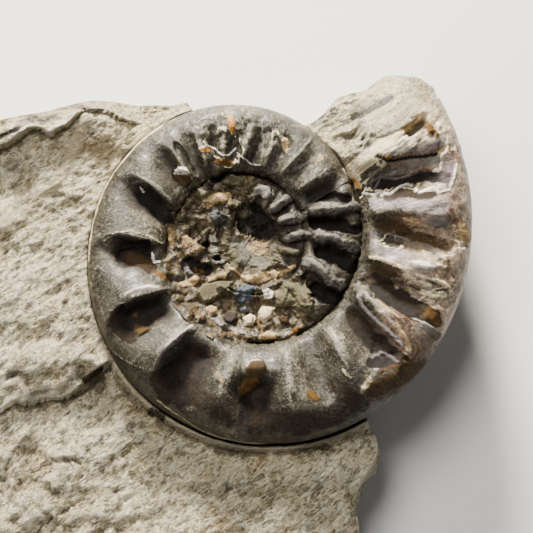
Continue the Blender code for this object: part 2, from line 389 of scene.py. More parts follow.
# %% Rib crests and the hollow after each
HOLLOWS = (
    # crest angle, depth of the hollow after it, and the share of the flank where that hollow starts and ends
    (-46, 1.0, 0.16, 0.97), (-21, 1.25, 0.08, 0.97), (1, 1.3, 0.05, 0.97), (20.5, 1.25, 0.06, 0.95),
    (41, 0.85, 0.08, 0.80), (59, 0.75, 0.05, 0.78), (74, 1.05, 0.05, 0.80), (90, 0.95, 0.05, 0.72),
    (104, 1.0, 0.05, 0.70), (117, 1.05, 0.04, 0.74), (131, 0.9, 0.05, 0.80), (151, 1.15, 0.04, 0.80),
    (178, 1.15, 0.04, 0.88), (206.5, 1.15, 0.06, 0.94), (232, 1.3, 0.12, 1.02), (260, 1.1, 0.34, 1.02),
    (286, 0.6, 0.06, 0.86), (309, 1.05, 0.05, 0.80), (331, 1.0, 0.05, 0.86), (348, 1.0, 0.05, 0.88),
    (367, 1.1, 0.04, 0.90), (388, 0.5, 0.05, 0.86), (408, 0.5, 0.05, 0.86),
)
# the crests of the bars in the hollow of the coil
BAR_CREST_DEGS = (-374, -351, -331, -309)
# the depth, start and end of the hollows between bars, between other older ribs and between the oldest
BAR_HOLLOW_SHAPE = (1.1, 0.08, 0.95)
OLDER_HOLLOW_SHAPE = (0.9, 0.08, 0.95)
OLDEST_HOLLOW_SHAPE = (0.8, 0.1, 0.95)
OLDEST_DEG = -1200.0
OLDER_SPACING_DEG = 21.0


def crest_table():
    """Rows of crest angle, depth, start and end of the hollow after it, from the oldest to the aperture."""
    rows = [tuple(map(float, row)) for row in HOLLOWS]
    angle = rows[0][0] - OLDER_SPACING_DEG
    while angle > max(BAR_CREST_DEGS) + OLDER_SPACING_DEG / 2.0:
        rows.insert(0, (angle, *OLDER_HOLLOW_SHAPE))
        angle -= OLDER_SPACING_DEG
    for angle in sorted(BAR_CREST_DEGS, reverse=True):
        rows.insert(0, (float(angle), *BAR_HOLLOW_SHAPE))
    while rows[0][0] > OLDEST_DEG:
        rows.insert(0, (rows[0][0] - OLDER_SPACING_DEG, *OLDEST_HOLLOW_SHAPE))
    return np.array(rows)


CRESTS = crest_table()
print(len(CRESTS), "ribs in all")

# %% The relief of ribs and hollows
# a hollow narrower than this is shallower in proportion
WIDEST_SPACING_DEG = 26.0
HOLLOW_DEPTH = 0.105
HOLLOW_POWER = 1.2
HOLLOW_SHADE_POWER = 1.15
# how far a hollow's deepest line moves towards one rib, on the left of the coil and on the right
LEFT_SKEW = 0.6
RIGHT_SKEW = 0.2
CREST_SHIFT = 0.05
CREST_POWER = 5
RIB_LEAN_DEG = 8.0
RIB_BEND_DEG = 30.0
LEAN_BELOW = 0.55
BEND_ABOVE = 0.6
# hollows end in a round, and hollows and crests fade in and out along the flank
END_ROUND = 0.24
HOLLOW_STARTS = (-0.06, 0.12)
HOLLOW_ENDS = (-0.40, 0.12)
CREST_STARTS = (0.0, 0.15)
CREST_ENDS = (-0.15, 0.02)


def ribs(angle, share):
    """The depth in a hollow, its painted shade, and the nearness to a crest for its worn pale line and
    painted highlight, from 0 to about 1.
    """
    leaning = np.degrees(angle) - RIB_LEAN_DEG * np.maximum(0.0, LEAN_BELOW - share)
    leaning = leaning - RIB_BEND_DEG * np.maximum(0.0, share - BEND_ABOVE) ** 2
    hollow = np.clip(np.searchsorted(CRESTS[:, 0], leaning) - 1, 0, len(CRESTS) - 2)
    spacing = CRESTS[hollow + 1, 0] - CRESTS[hollow, 0]
    phase = np.clip((leaning - CRESTS[hollow, 0]) / spacing, 0.0, 1.0)
    leftwards = -np.cos(angle)
    side = LEFT_SKEW * np.maximum(leftwards, 0.0) + RIGHT_SKEW * np.minimum(leftwards, 0.0)
    skewed = np.where(side > 0.0, phase ** (1.0 - side), 1.0 - (1.0 - phase) ** (1.0 + side))
    wave = 0.5 - 0.5 * np.cos(math.tau * skewed)
    end = CRESTS[hollow, 3] - END_ROUND * (2.0 * skewed - 1.0) ** 2
    window = smooth(*HOLLOW_STARTS, share - CRESTS[hollow, 2]) * (1.0 - smooth(*HOLLOW_ENDS, share - end))
    strength = window * np.minimum(1.0, spacing / WIDEST_SPACING_DEG) * CRESTS[hollow, 1]
    # crest is the worn pale line of a rib and a painted highlight, shifted towards the side of the rib that
    # faces the light
    crest = (0.5 + 0.5 * np.cos(math.tau * (phase + CREST_SHIFT * side / LEFT_SKEW))) ** CREST_POWER
    crest = crest * smooth(*CREST_STARTS, share) * (1.0 - smooth(*CREST_ENDS, share - end))
    # the second value is the hollow's painted shade, with some darker calcite; the skew puts its darkest
    # line on the side away from the light
    return wave**HOLLOW_POWER * strength, wave**HOLLOW_SHADE_POWER * strength, crest


left_hollow = float(ribs(math.radians(192.0), 0.5)[0])
print("a hollow on the left has", round(left_hollow, 2), "of the full depth half way over the flank")

# %% [markdown]
# ## Chips, pits and broken edges
#
# The last turn is damaged: a skin of shell has flaked off in places and left zigzag edges, and there are
# pits and bumps. Each is a patch on the flank: an ellipse in angle and share, whose rim is made ragged by
# noise. A patch moves the surface in or out by its depth, and the points near its rim are marked, because
# fresh edges are white.

# %% Patches on the last turn
PATCHES = (
    # angle and share of the middle, half sizes, depth in mm, raggedness, paleness of the rim
    (104.5, 0.30, 8.0, 0.24, -0.30, 0.55, 0.9), (108.0, 0.55, 3.0, 0.14, -0.18, 0.5, 0.4),
    (128.5, 0.35, 2.2, 0.28, -0.35, 0.3, 0.3), (70.0, 0.48, 5.0, 0.16, -0.16, 0.5, 0.3),
    (139.0, 0.20, 3.0, 0.12, -0.2, 0.4, 0.2), (187.5, 0.40, 5.0, 0.26, -0.30, 0.3, 0.2),
    (214.0, 0.50, 6.0, 0.22, -0.15, 0.4, 0.1), (262.5, 0.38, 5.0, 0.16, 0.12, 0.6, 0.3),
    (298.0, 0.45, 5.0, 0.25, -0.12, 0.5, 0.1), (316.5, 0.80, 7.5, 0.10, 0.22, 0.5, 0.6),
    (323.0, 0.62, 4.0, 0.16, -0.35, 0.4, 0.2), (339.5, 0.42, 5.0, 0.34, -0.25, 0.4, 0.3),
    (346.5, 0.70, 5.5, 0.24, -0.16, 0.8, 0.8), (359.0, 0.55, 4.2, 0.40, -0.28, 0.45, 0.7),
    (383.0, 0.44, 5.6, 0.42, -0.42, 0.45, 1.0), (392.5, 0.66, 2.4, 0.14, -0.6, 0.4, 0.3),
)
RIM_WIDTH = 0.10
PATCH_SLOPE = 0.16


def patches(angle, share, ragged):
    """The height that the patches add in mm, and how near each point is to a pale rim."""
    height = np.zeros_like(angle)
    rim = np.zeros_like(angle)
    for middle, middle_share, half_angle, half_share, depth, jag, pale in PATCHES:
        along = (np.degrees(angle) - middle) / half_angle
        over = (share - middle_share) / half_share
        inside = 1.0 - np.sqrt(along * along + over * over) + jag * ragged
        height += depth * smooth(0.0, PATCH_SLOPE, inside)
        rim = np.maximum(rim, pale * np.exp(-((inside / RIM_WIDTH) ** 2)))
    return height, rim


print(len(PATCHES), "patches")

# %% [markdown]
# ## The last turn
#
# One section, from the upper seam over the flank, round the outer edge and back under, is swept along the
# spiral. The section is a squarish ellipse. The relief moves each point outwards: fully on the upper
# flank, hardly at all on the outer edge, where the real shell is smooth, and less on the lower half,
# which the stone hides.

# %% Sweep of a section along the spiral
LAST_STEP_DEG, UPPER_STEPS, LOWER_STEPS = 0.38, 66, 14
SIDEWAYS = 0.5


def swept(first_deg, last_deg, step_deg, upper_steps, lower_steps):
    """The angle, share, outward direction, radius, height and outer radius at each point of a sweep."""
    count = int(round((last_deg - first_deg) / step_deg)) + 1
    angles = np.radians(np.linspace(first_deg, last_deg, count))
    upper = np.linspace(SEAM_DEG, 180.0, upper_steps, endpoint=False)
    lower = np.linspace(180.0, 360.0 - SEAM_DEG, lower_steps + 1)
    angle, around = np.meshgrid(angles, np.radians(np.concatenate([upper, lower])), indexing="ij")
    outer, seam = edge_radius(angle), edge_radius(angle - math.tau)
    across = np.sign(np.cos(around)) * np.abs(np.cos(around)) ** SECTION_POWER
    up = np.sign(np.sin(around)) * np.abs(np.sin(around)) ** SECTION_POWER
    radius = outer - (outer - seam) / (1.0 + SEAM_ACROSS) * (1.0 + across)
    share = (radius - seam) / (outer - seam)
    return {"angle": angle, "share": share, "across": across, "up": up, "outer": outer,
            "radius": radius, "height": outer * HALF_WIDTH * up}


def placed(sweep, lift):
    """The sweep's points in mm, each moved outwards by its lift."""
    radius = sweep["radius"] - lift * sweep["across"] * SIDEWAYS
    height = MID_HEIGHT + sweep["height"] + lift * sweep["up"]
    x = radius * np.cos(sweep["angle"])
    y = CRUSH * radius * np.sin(sweep["angle"])
    return np.stack([x, y, height], axis=-1)


last_turn = swept(FIRST_DEG, LAST_DEG, LAST_STEP_DEG, UPPER_STEPS, LOWER_STEPS)
smooth_points = placed(last_turn, np.zeros_like(last_turn["angle"]))
turn_deg, share = np.degrees(last_turn["angle"]), last_turn["share"]
above = smooth(0.0, 0.3, last_turn["up"])
print("the last turn has", smooth_points[..., 0].size, "points")

# %% Relief of the last turn
SKIN = (
    # size and depth in mm, octaves, seed
    (2.6, 0.05, 2, 5.0), (0.45, 0.022, 3, 9.0),
)
SEAM_WIDTH, SEAM_ROUGH, SEAM_RISE = 0.07, 0.30, 0.2
WEAR_ROUGH = 0.30
WEATHERED_SHARE = 0.45
CREST_RISE = 0.010
# the share of a hollow's depth that is left where the flank turns down
SIDE_DEPTH = 0.45

ragged = grain(smooth_points, 1.1, 4)
# hollow is the painted shade of the rib hollows
rib_depth, hollow, crest = ribs(last_turn["angle"], share)
patch_height, rim = patches(last_turn["angle"], share, ragged)
# the shell is crumbled at the top of the coil, and weathered towards the aperture
crumbled = span(turn_deg, (62.0, 82.0), (112.0, 126.0)) * span(share, (0.1, 0.3), (0.66, 0.85))
weathered = WEATHERED_SHARE * smooth(300.0, 340.0, turn_deg) * smooth(0.1, 0.4, share)
swell = relief(smooth_points, SKIN)
swell += WEAR_ROUGH * np.maximum(crumbled, weathered) * grain(smooth_points, 0.8, 4, 17.0)
swell += SEAM_ROUGH * np.exp(-share / SEAM_WIDTH) * (grain(smooth_points, 0.9, 4, 19.0) + SEAM_RISE)
lift = -HOLLOW_DEPTH * last_turn["outer"] * rib_depth * (SIDE_DEPTH + (1.0 - SIDE_DEPTH) * above)
lift += CREST_RISE * last_turn["outer"] * crest * above + (patch_height + swell) * above
last_points = placed(last_turn, lift)
print("the deepest hollow is", round(float(-lift.min()), 2), "mm")

# %% [markdown]
# ## The hollow of the coil
#
# Inside the last turn lie the older ones. On the right their ribs stand clear as short bars with black
# gaps between them. On the left and in front a crust of sediment and broken chambers buries them. This
# part is a disc of rings round the pole, and its height at each place comes from the same section
# formula, read the other way round.

# %% Rings of the hollow and the height of the old turns
INNER_RAYS, INNER_RINGS = 560, 116
# the disc runs this far under the last turn, and further where the last turn begins
TUCK = 0.55
START_TUCK = -0.1
HIDDEN_DEG = 24.0
POLE_RADIUS = 0.3

inner_turn = np.radians(np.linspace(FIRST_DEG, FIRST_DEG + 360.0, INNER_RAYS, endpoint=False))
past_start = 1.0 - smooth(0.0, HIDDEN_DEG, np.degrees(inner_turn) - FIRST_DEG)
inner_edge = edge_radius(inner_turn - math.tau) + TUCK
inner_edge = inner_edge + (edge_radius(inner_turn) - inner_edge + START_TUCK) * past_start
inner_radius = np.outer(inner_edge, np.arange(1, INNER_RINGS + 1) / INNER_RINGS)
inner_theta = np.repeat(inner_turn[:, None], INNER_RINGS, axis=1)
least = np.log(np.maximum(inner_radius, POLE_RADIUS) / EDGE_RADIUS) / GROWTH
inner_angle = inner_theta - math.tau * np.floor((inner_theta - least) / math.tau)
turn_edge, turn_seam = edge_radius(inner_angle), edge_radius(inner_angle - math.tau)
inner_share = np.clip((inner_radius - turn_seam) / (turn_edge - turn_seam), 0.0, 1.0)
inner_across = np.minimum(np.abs(SEAM_ACROSS - inner_share * (1.0 + SEAM_ACROSS)), 1.0)
inner_up = (1.0 - inner_across ** (2.0 / SECTION_POWER)) ** (SECTION_POWER / 2.0)
inner_x = inner_radius * np.cos(inner_theta)
inner_y = CRUSH * inner_radius * np.sin(inner_theta)
inner_flat = np.stack([inner_x, inner_y, np.zeros_like(inner_x)], axis=-1)
print("the hollow of the coil is", round(float(inner_edge.max() + inner_edge.min()), 1), "mm wide")

# %% Where sediment buries the old turns
SEDIMENT = (
    # place, half sizes, and how much of the shell it buries
    (-3.6, 3.2, 3.6, 2.6, 1.0), (-5.6, 0.0, 2.4, 3.2, 1.0), (-0.6, 5.4, 2.8, 1.6, 1.0),
    (-4.6, -4.2, 3.0, 2.8, 1.0), (-1.2, -6.0, 3.6, 2.1, 1.0), (2.2, -5.9, 2.6, 1.8, 0.9),
    (-1.0, -2.6, 4.4, 1.1, 0.9), (3.4, -3.9, 1.9, 1.6, 0.8), (0.6, 0.0, 2.6, 1.9, 0.75),
    (-1.0, 1.6, 1.8, 1.8, 0.9),
)
COVER_EDGE = (-0.15, 0.25)
COVER_RAGGED = 0.35


def spread(x, y, places, ragged):
    """The most that any of these soft ellipses covers a point, with a ragged rim."""
    cover = np.zeros_like(x)
    for middle_x, middle_y, half_x, half_y, amount in places:
        away = np.sqrt(((x - middle_x) / half_x) ** 2 + ((y - middle_y) / half_y) ** 2)
        cover = np.maximum(cover, amount * smooth(*COVER_EDGE, 1.0 - away + COVER_RAGGED * ragged))
    return cover


inner_ragged = grain(inner_flat, 1.0, 4, 3.0)
buried = spread(inner_x, inner_y, SEDIMENT, inner_ragged)
print("sediment covers", round(float(buried.mean()) * 100), "% of the hollow of the coil")

# %% Levels of the hollow of the coil
BAR_HOLLOW = 0.085
START_DROP = 0.5
# the sediment lies deepest at the pole and heaps up against the wall in front and in places elsewhere
SEDIMENT_POLE, SEDIMENT_SLOPE = -0.35, 0.16
HEAP_HEIGHT, HEAP_POWER = 1.15, 9
FRONT_RISE, FRONT_FALL = (3.0, 3.5), (5.2, 5.6)
LUMP_DEPTH, LUMP_SCALE, LUMP_LEVEL = 0.42, 2.6, -0.45
SEDIMENT_GRAIN = (
    # size and depth in mm, octaves, seed
    (0.6, 0.09, 2, 8.0), (0.17, 0.03, 3, 9.0),
)

inner_depth, inner_hollow_shade, inner_crest = ribs(inner_angle, inner_share)
shell_level = HALF_WIDTH * turn_edge * inner_up - BAR_HOLLOW * turn_edge * inner_depth
shell_level -= START_DROP * (inner_angle > math.radians(FIRST_DEG))
lumps = np.abs(grain(inner_flat, 1.7, 2, 7.0)) * LUMP_SCALE + LUMP_LEVEL
sediment_rough = LUMP_DEPTH * lumps + relief(inner_flat, SEDIMENT_GRAIN)
near_wall = np.linspace(0.0, 1.0, INNER_RINGS)[None, :] ** HEAP_POWER
in_places = smooth(-0.5, 0.6, grain(inner_flat, 1.8, 3, 27.0))
heap = np.maximum(in_places, span(inner_theta, FRONT_RISE, FRONT_FALL))
sediment_level = SEDIMENT_POLE + SEDIMENT_SLOPE * inner_radius + HEAP_HEIGHT * near_wall * heap
inner_level = shell_level + (sediment_level - shell_level) * buried
print("the sediment rises by", round(float(np.ptp(sediment_level)), 2), "mm from its lowest place")

# %% [markdown]
# ## The stone
#
# The limestone is a block with a flat base. Seen from above it has a broken outline, and its face has
# broad swells, sharp ledges where a layer has broken off, and a grain that lies one way, as the layers
# do. The outline is a list of corners, and a swell or a ledge is a few numbers, because a broken stone
# has no formula of its own.

# %% Outline and relief of the stone
OUTLINE = (
    # the corners seen from above, in mm
    (-24.6, 9.4), (-19.4, 10.3), (-16.8, 10.8), (-14.5, 11.4), (-13.2, 11.75), (-11.6, 11.95), (-9.0, 11.7),
    (-7.9, 11.8), (-6.3, 11.75), (-5.0, 12.0), (-4.2, 10.8), (-2.0, 9.4), (1.6, 9.6), (3.5, 10.15),
    (4.9, 10.2), (6.2, 11.1), (7.3, 12.4), (8.4, 12.75), (9.5, 12.9), (10.4, 13.5), (11.3, 14.0),
    (12.4, 13.6), (13.9, 13.4), (15.0, 12.7), (15.3, 11.4), (16.0, 9.4), (16.4, 7.0), (16.2, 3.0),
    (15.6, -1.0), (14.4, -4.6), (12.4, -8.2), (10.2, -11.4), (9.1, -13.5), (9.7, -14.5), (10.3, -15.1),
    (10.5, -16.2), (10.1, -17.5), (9.1, -19.0), (8.5, -20.6), (8.75, -21.6), (9.0, -22.6), (8.6, -24.2),
    (6.0, -26.2), (1.0, -27.6), (-6.0, -28.4), (-13.0, -27.8), (-19.4, -28.6), (-25.0, -27.0),
    (-28.2, -22.6), (-28.8, -16.0), (-28.2, -9.0), (-28.8, -2.0), (-27.6, 4.4),
)
FORMS = (
    # place, half length and half width, direction of the length in degrees, and rise
    (-18.5, 11.0, 6.5, 3.4, 0.0, 1.3), (-15.8, 5.2, 3.6, 2.5, 25.0, -0.1),
    (-11.5, 9.5, 2.6, 1.6, -35.0, 0.7), (-24.0, 3.0, 4.0, 4.0, 0.0, -0.5),
    (-20.0, -3.0, 4.5, 2.0, -35.0, 0.5), (-12.2, -10.4, 1.3, 0.8, -40.0, -0.9),
    (-18.0, -10.2, 5.5, 1.9, 12.0, 1.1), (-21.0, -16.5, 6.0, 2.2, 40.0, 0.6),
    (-13.5, -17.5, 5.5, 1.5, 42.0, 0.5), (2.0, -17.6, 8.5, 1.3, 2.0, 0.7),
    (1.0, -14.2, 8.0, 1.0, 0.0, -0.5), (-5.0, -23.5, 7.0, 2.0, 15.0, 0.5),
    (13.0, 12.0, 4.2, 2.4, 35.0, 2.2), (7.6, 9.4, 3.0, 1.4, 30.0, -0.5),
)
LEDGES = (
    # the line of each step, left to right with the high side behind it, then its rise and how far the
    # rise runs back
    (((-21.0, 7.2), (-19.4, 7.6), (-18.2, 8.0), (-17.0, 8.8), (-15.6, 8.5), (-14.3, 9.1), (-13.6, 9.8)),
        0.9, 2.4),
    (((-12.4, 10.5), (-10.9, 10.45), (-9.5, 9.9)), 0.6, 1.6),
    (((-23.0, -13.2), (-19.4, -12.9), (-17.0, -12.2), (-14.3, -11.8), (-12.4, -10.9), (-11.0, -9.6)),
        0.8, 3.0),
    (((-12.6, -10.7), (-11.7, -10.0)), 0.7, 1.5),
    (((-15.6, -16.9), (-14.6, -16.5), (-13.6, -16.9)), 0.25, 1.2),
    (((-18.6, -18.8), (-16.8, -18.0), (-15.2, -18.6)), 0.22, 1.4),
)
# the face lies lower in front than at the back, and falls between these places along Y
BACK_LEVEL, FRONT_LEVEL = 0.35, -1.25
FALL_START, FALL_END = -5.0, -13.0
print(len(FORMS), "broad forms and", len(LEDGES), "ledges on the stone")

# %% The distance to the outline
TINY = 1e-9


def outline_radius(turn):
    """The distance from the pole to the stone's outline in one direction."""
    way = Vector((math.cos(turn), math.sin(turn)))
    far = 0.0
    for corner, following in zip(OUTLINE, OUTLINE[1:] + OUTLINE[:1]):
        side = Vector(following) - Vector(corner)
        spin = way.cross(side)
        if abs(spin) < TINY:
            continue
        reach = Vector(corner).cross(side) / spin
        part = Vector(corner).cross(way) / spin
        if reach > 0.0 and 0.0 <= part <= 1.0:
            far = max(far, reach)
    return far


print("to the left the stone reaches", round(outline_radius(math.pi), 1), "mm from the pole")

# %% The height of the stone's face
STEP_SOFTNESS = 0.12
FOOT_DEPTH, FOOT_WIDTH = 0.3, 0.7
LEDGE_END = 0.8
WARP_DEPTH = 0.5
GRAIN_DEG = 36.0
STONE_SWELL = ((3.2, 0.45, 3, 0.0),)
# the grain is longer than wide: its points are squeezed along it by these shares
COARSE_SQUEEZE, COARSE_GRAIN = 0.4, ((0.9, 0.22, 3, 13.0),)
FINE_SQUEEZE, FINE_GRAIN = 0.6, ((0.34, 0.13, 4, 14.0),)


def ledge_height(x, y, line, rise, run):
    """A step along a line: steep at the line, falling away behind it and a little hollow before it."""
    height = np.zeros_like(x)
    nearest = np.full_like(x, np.inf)
    for (from_x, from_y), (to_x, to_y) in zip(line, line[1:]):
        length = math.hypot(to_x - from_x, to_y - from_y)
        way_x, way_y = (to_x - from_x) / length, (to_y - from_y) / length
        along = (x - from_x) * way_x + (y - from_y) * way_y
        side = (y - from_y) * way_x - (x - from_x) * way_y
        past = np.maximum(0.0, np.maximum(-along, along - length))
        gap = np.hypot(side, past)
        shape = smooth(-STEP_SOFTNESS, STEP_SOFTNESS, side) * np.exp(-np.maximum(side, 0.0) / run)
        shape -= FOOT_DEPTH * np.exp(-np.abs(side) / FOOT_WIDTH) * (side < 0.0)
        height = np.where(gap < nearest, rise * shape * np.exp(-((past / LEDGE_END) ** 2)), height)
        nearest = np.minimum(gap, nearest)
    return height


def along_and_aside(x, y, turn_deg):
    """The same places, measured along a direction and square to it."""
    cosine, sine = math.cos(math.radians(turn_deg)), math.sin(math.radians(turn_deg))
    return x * cosine + y * sine, y * cosine - x * sine


def along_grain(points, squeeze):
    """The points turned so that the stone's grain lies along X, and squeezed along it."""
    along, aside = along_and_aside(points[..., 0], points[..., 1], GRAIN_DEG)
    return np.stack([along * squeeze, aside, points[..., 2]], axis=-1)


def stone_level(x, y):
    """The height of the stone's face above the coil's middle plane, in mm."""
    flat = np.stack([x, y, np.zeros_like(x)], axis=-1)
    warp = WARP_DEPTH * grain(flat, 1.3, 4, 11.0)
    level = FRONT_LEVEL + (BACK_LEVEL - FRONT_LEVEL) * smooth(FALL_END, FALL_START, y)
    for middle_x, middle_y, half_length, half_width, turn_deg, rise in FORMS:
        along, aside = along_and_aside(x - middle_x, y - middle_y, turn_deg)
        away = (along / half_length) ** 2 + (aside / half_width) ** 2
        level = level + rise * (1.0 - smooth(0.0, 2.0, away))
    for line, rise, run in LEDGES:
        level = level + ledge_height(x + warp, y + warp, line, rise, run)
    level = level + relief(flat, STONE_SWELL)
    level = level + relief(along_grain(flat, COARSE_SQUEEZE), COARSE_GRAIN)
    return level + relief(along_grain(flat, FINE_SQUEEZE), FINE_GRAIN)


print("the face under the pole lies at", round(float(stone_level(np.array(0.0), np.array(0.0))), 2), "mm")

# %% [markdown]
# ## Profiles from the socket to the base
#
# The stone's mesh is a fan of profiles round the pole of the coil: each starts under the shell, climbs
# the wall of the socket, runs out over the stone's face to its outline, and goes down the side to the
# base. So the grid is finest where the shell meets the stone, which is what the eye looks at. On the
# right the shell overhangs the stone, and there the profiles stay low.

# %% Rays from the pole
RAYS = 720
MOUTH_DEG = LAST_DEG - 360.0
MOUTH_OVERLAP = 0.035
SOCKET_GAP = 0.05
LEAST_FACE = 0.9
STAND_GAP = (-0.2, 1.0)

rays = np.linspace(0.0, math.tau, RAYS, endpoint=False)
growth_angle = np.where(rays < math.radians(MOUTH_DEG) - MOUTH_OVERLAP, rays + math.tau, rays)
shell_radius = edge_radius(growth_angle) * np.hypot(np.cos(rays), CRUSH * np.sin(rays))
plan_turn = np.arctan2(CRUSH * np.sin(rays), np.cos(rays))
rock_radius = np.array([outline_radius(turn) for turn in plan_turn])
half_width = HALF_WIDTH * edge_radius(growth_angle)
socket_edge = np.minimum(shell_radius + SOCKET_GAP, rock_radius - LEAST_FACE)
# 1 where the stone stands out past the shell, 0 where the shell overhangs it
stands = smooth(*STAND_GAP, rock_radius - shell_radius)


def ring(radius, height):
    """One ring of points, a radius and a height for each ray."""
    return np.stack([radius * np.cos(plan_turn), radius * np.sin(plan_turn), height], axis=-1)


print("the shell overhangs the stone on", round(float((stands < 0.5).mean()) * 100), "% of the way round")

# %% The socket under the shell
FLOOR_STEPS, WALL_STEPS = 8, 6
WALL_LEAN = 0.15
BOWL_TOP, BOWL_DEPTH = 2.2, 1.7
BOWL_START, BOWL_END, BOWL_RETURN = (0.0, 0.72), (0.82, 1.0), 0.75


def floor_height(radius):
    """The socket's floor under the shell, deepest under the middle of the last turn."""
    share = np.clip(radius / shell_radius, 0.0, 1.0)
    bowl = smooth(*BOWL_START, share) * (1.0 - BOWL_RETURN * smooth(*BOWL_END, share) ** 2)
    return MID_HEIGHT - BOWL_TOP - (half_width - BOWL_DEPTH) * bowl


rings = []
for step in range(1, FLOOR_STEPS + 1):
    radius = (socket_edge - WALL_LEAN) * step / FLOOR_STEPS
    rings.append(ring(radius, floor_height(radius)))
floor_edge = rings[-1][:, 2]
face_start = MID_HEIGHT + stone_level(socket_edge * np.cos(plan_turn), socket_edge * np.sin(plan_turn))
face_start = floor_edge + (face_start - floor_edge) * stands
for step in range(1, WALL_STEPS + 1):
    share = step / WALL_STEPS
    radius = socket_edge - WALL_LEAN * (1.0 - share)
    rings.append(ring(radius, floor_edge + (face_start - floor_edge) * share))
print("the socket is up to", round(float((face_start - floor_edge).max()), 1), "mm deep")

# %% The face of the stone
FACE_STEPS = 88
RIM_INSET = 0.035
LEAST_RUN = 0.3
RIM_DROP, RIM_RUN = 0.9, 2.4

top_radius = np.maximum(rock_radius * (1.0 - RIM_INSET), socket_edge + LEAST_RUN)
for step in range(1, FACE_STEPS + 1):
    radius = socket_edge + (top_radius - socket_edge) * (step / FACE_STEPS)
    points = ring(radius, np.zeros(RAYS))
    height = MID_HEIGHT + stone_level(points[:, 0], points[:, 1])
    height = floor_edge + (height - floor_edge) * stands
    height -= RIM_DROP * smooth(RIM_RUN, 0.0, top_radius - radius) * stands
    rings.append(ring(radius, height))
rim_height = rings[-1][:, 2]
print("the stone's rim is up to", round(float(rim_height.max()), 1), "mm high")

# %% The sides of the stone
SIDE_STEPS = 15
WIDEST_SHARE, BASE_INSET = 0.6, 0.08
SIDE_ROUGH, SIDE_LAYERS, LAYER_HEIGHT, SIDE_SHRINK = 0.55, 0.22, 1.3, 0.3
LAYER_SQUEEZE = (0.25, 0.25, 1.0)
SIDE_START, SIDE_END = (0.0, 0.15), (1.0, 0.75)

for step in range(1, SIDE_STEPS + 1):
    share = 1.0 - step / SIDE_STEPS
    below = max(0.0, 1.0 - share / WIDEST_SHARE)
    over = max(0.0, (share - WIDEST_SHARE) / (1.0 - WIDEST_SHARE))
    radius = rock_radius * (1.0 - BASE_INSET * below**2 - RIM_INSET * over**2)
    side = ring(radius, rim_height * share)
    rough_side = SIDE_ROUGH * grain(side, 2.8, 4, 31.0) - SIDE_SHRINK
    rough_side += SIDE_LAYERS * grain(side * LAYER_SQUEEZE, LAYER_HEIGHT, 3, 33.0)
    radius = radius + rough_side * smooth(*SIDE_START, share) * smooth(*SIDE_END, share)
    rings.append(ring(radius, rim_height * share))
stone_points = np.stack(rings, axis=1)
print("stone profiles:", stone_points.shape)

# %% The stone at the aperture
# past the shell's last rib the stone keeps the height of its section, as the mud that filled its mouth
MOULD_START, MOULD_REACH, MOULD_GAP = 0.12, 0.80, 0.12
MOULD_LEAD_DEG, MOULD_RUN_DEG = -2.5, 16.0
MOULD_HEIGHTS = (-0.5, 0.7)

stone_turn = np.mod(np.arctan2(stone_points[..., 1] / CRUSH, stone_points[..., 0]), math.tau)
past_deg = np.degrees(stone_turn) - MOUTH_DEG
plan_radius = np.hypot(stone_points[..., 0], stone_points[..., 1] / CRUSH)
start_edge, end_edge = (float(edge_radius(math.radians(turn))) for turn in (MOUTH_DEG, LAST_DEG))
mould_share = np.clip((plan_radius - start_edge) / (end_edge - start_edge), 0.0, 1.0)
mould_up = np.sin(math.pi * (MOULD_START + MOULD_REACH * mould_share)) ** SECTION_POWER
mould_level = MID_HEIGHT + HALF_WIDTH * end_edge * mould_up - MOULD_GAP
meets = 1.0 - smooth(0.0, MOULD_RUN_DEG, past_deg)
meets = meets * (past_deg > MOULD_LEAD_DEG) * (plan_radius > start_edge)
meets = meets * smooth(*MOULD_HEIGHTS, stone_points[..., 2] - MID_HEIGHT)
stone_points[..., 2] += (mould_level - stone_points[..., 2]) * meets
print("the mould covers", int((meets > 0.5).sum()), "points")

# %% [markdown]
# ## Where the camera sees a point
#
# Stains, cracks and chips were measured in the photograph, so their places are written in its pixels,
# across from the left and down from the top. This camera stands where the photograph was taken from, so a
# line of sight through a pixel tells which point of the model it is.

# %% Pixels of the photograph and points of the model
PICTURE_WIDTH = 533.0
FOCAL = VIEW_DISTANCE / VIEW_WIDTH * PICTURE_WIDTH
EYE = np.array(camera.location) / MM
AHEAD = np.array((0.0, math.sin(tilt), -math.cos(tilt)))
RIGHT = np.array((1.0, 0.0, 0.0))
UP = np.array((0.0, math.cos(tilt), math.sin(tilt)))


def picture_place(points):
    """Where each point lies in the photograph, in pixels across and down."""
    away = points - EYE
    scale = FOCAL / (away @ AHEAD)
    return PICTURE_WIDTH / 2.0 + scale * (away @ RIGHT), PICTURE_WIDTH / 2.0 - scale * (away @ UP)


def line_distance(x, y, line):
    """The distance from each point to a bent line, or to a single place."""
    nearest = np.hypot(x - line[0][0], y - line[0][1])
    for (from_x, from_y), (to_x, to_y) in zip(line, line[1:]):
        step_x, step_y = to_x - from_x, to_y - from_y
        part = ((x - from_x) * step_x + (y - from_y) * step_y) / (step_x * step_x + step_y * step_y)
        part = np.clip(part, 0.0, 1.0)
        nearest = np.minimum(nearest, np.hypot(x - from_x - part * step_x, y - from_y - part * step_y))
    return nearest


def inside_distance(x, y, corners):
    """How far inside a convex outline each point lies, negative outside. The corners go clockwise."""
    within = np.full_like(x, np.inf)
    for (from_x, from_y), (to_x, to_y) in zip(corners, corners[1:] + corners[:1]):
        length = math.hypot(to_x - from_x, to_y - from_y)
        side = ((to_x - from_x) * (y - from_y) - (to_y - from_y) * (x - from_x)) / length
        within = np.minimum(within, side)
    return within


middle_pixel = picture_place(np.array((0.0, 0.0, MID_HEIGHT)))
print("the coil's middle lies at pixel", [round(float(part)) for part in middle_pixel])

# %% [markdown]
# ## Colours laid on by strokes and chips
#
# A crust or a crack is a stroke: a bent line with a width, laid over what is there, with a ragged edge. A
# crystal is a chip: a flat, tilted face with steep sides. Both give the mesh a colour, an amount and a
# rise, which costs no image, and the finish lets its own noise break up their edges.

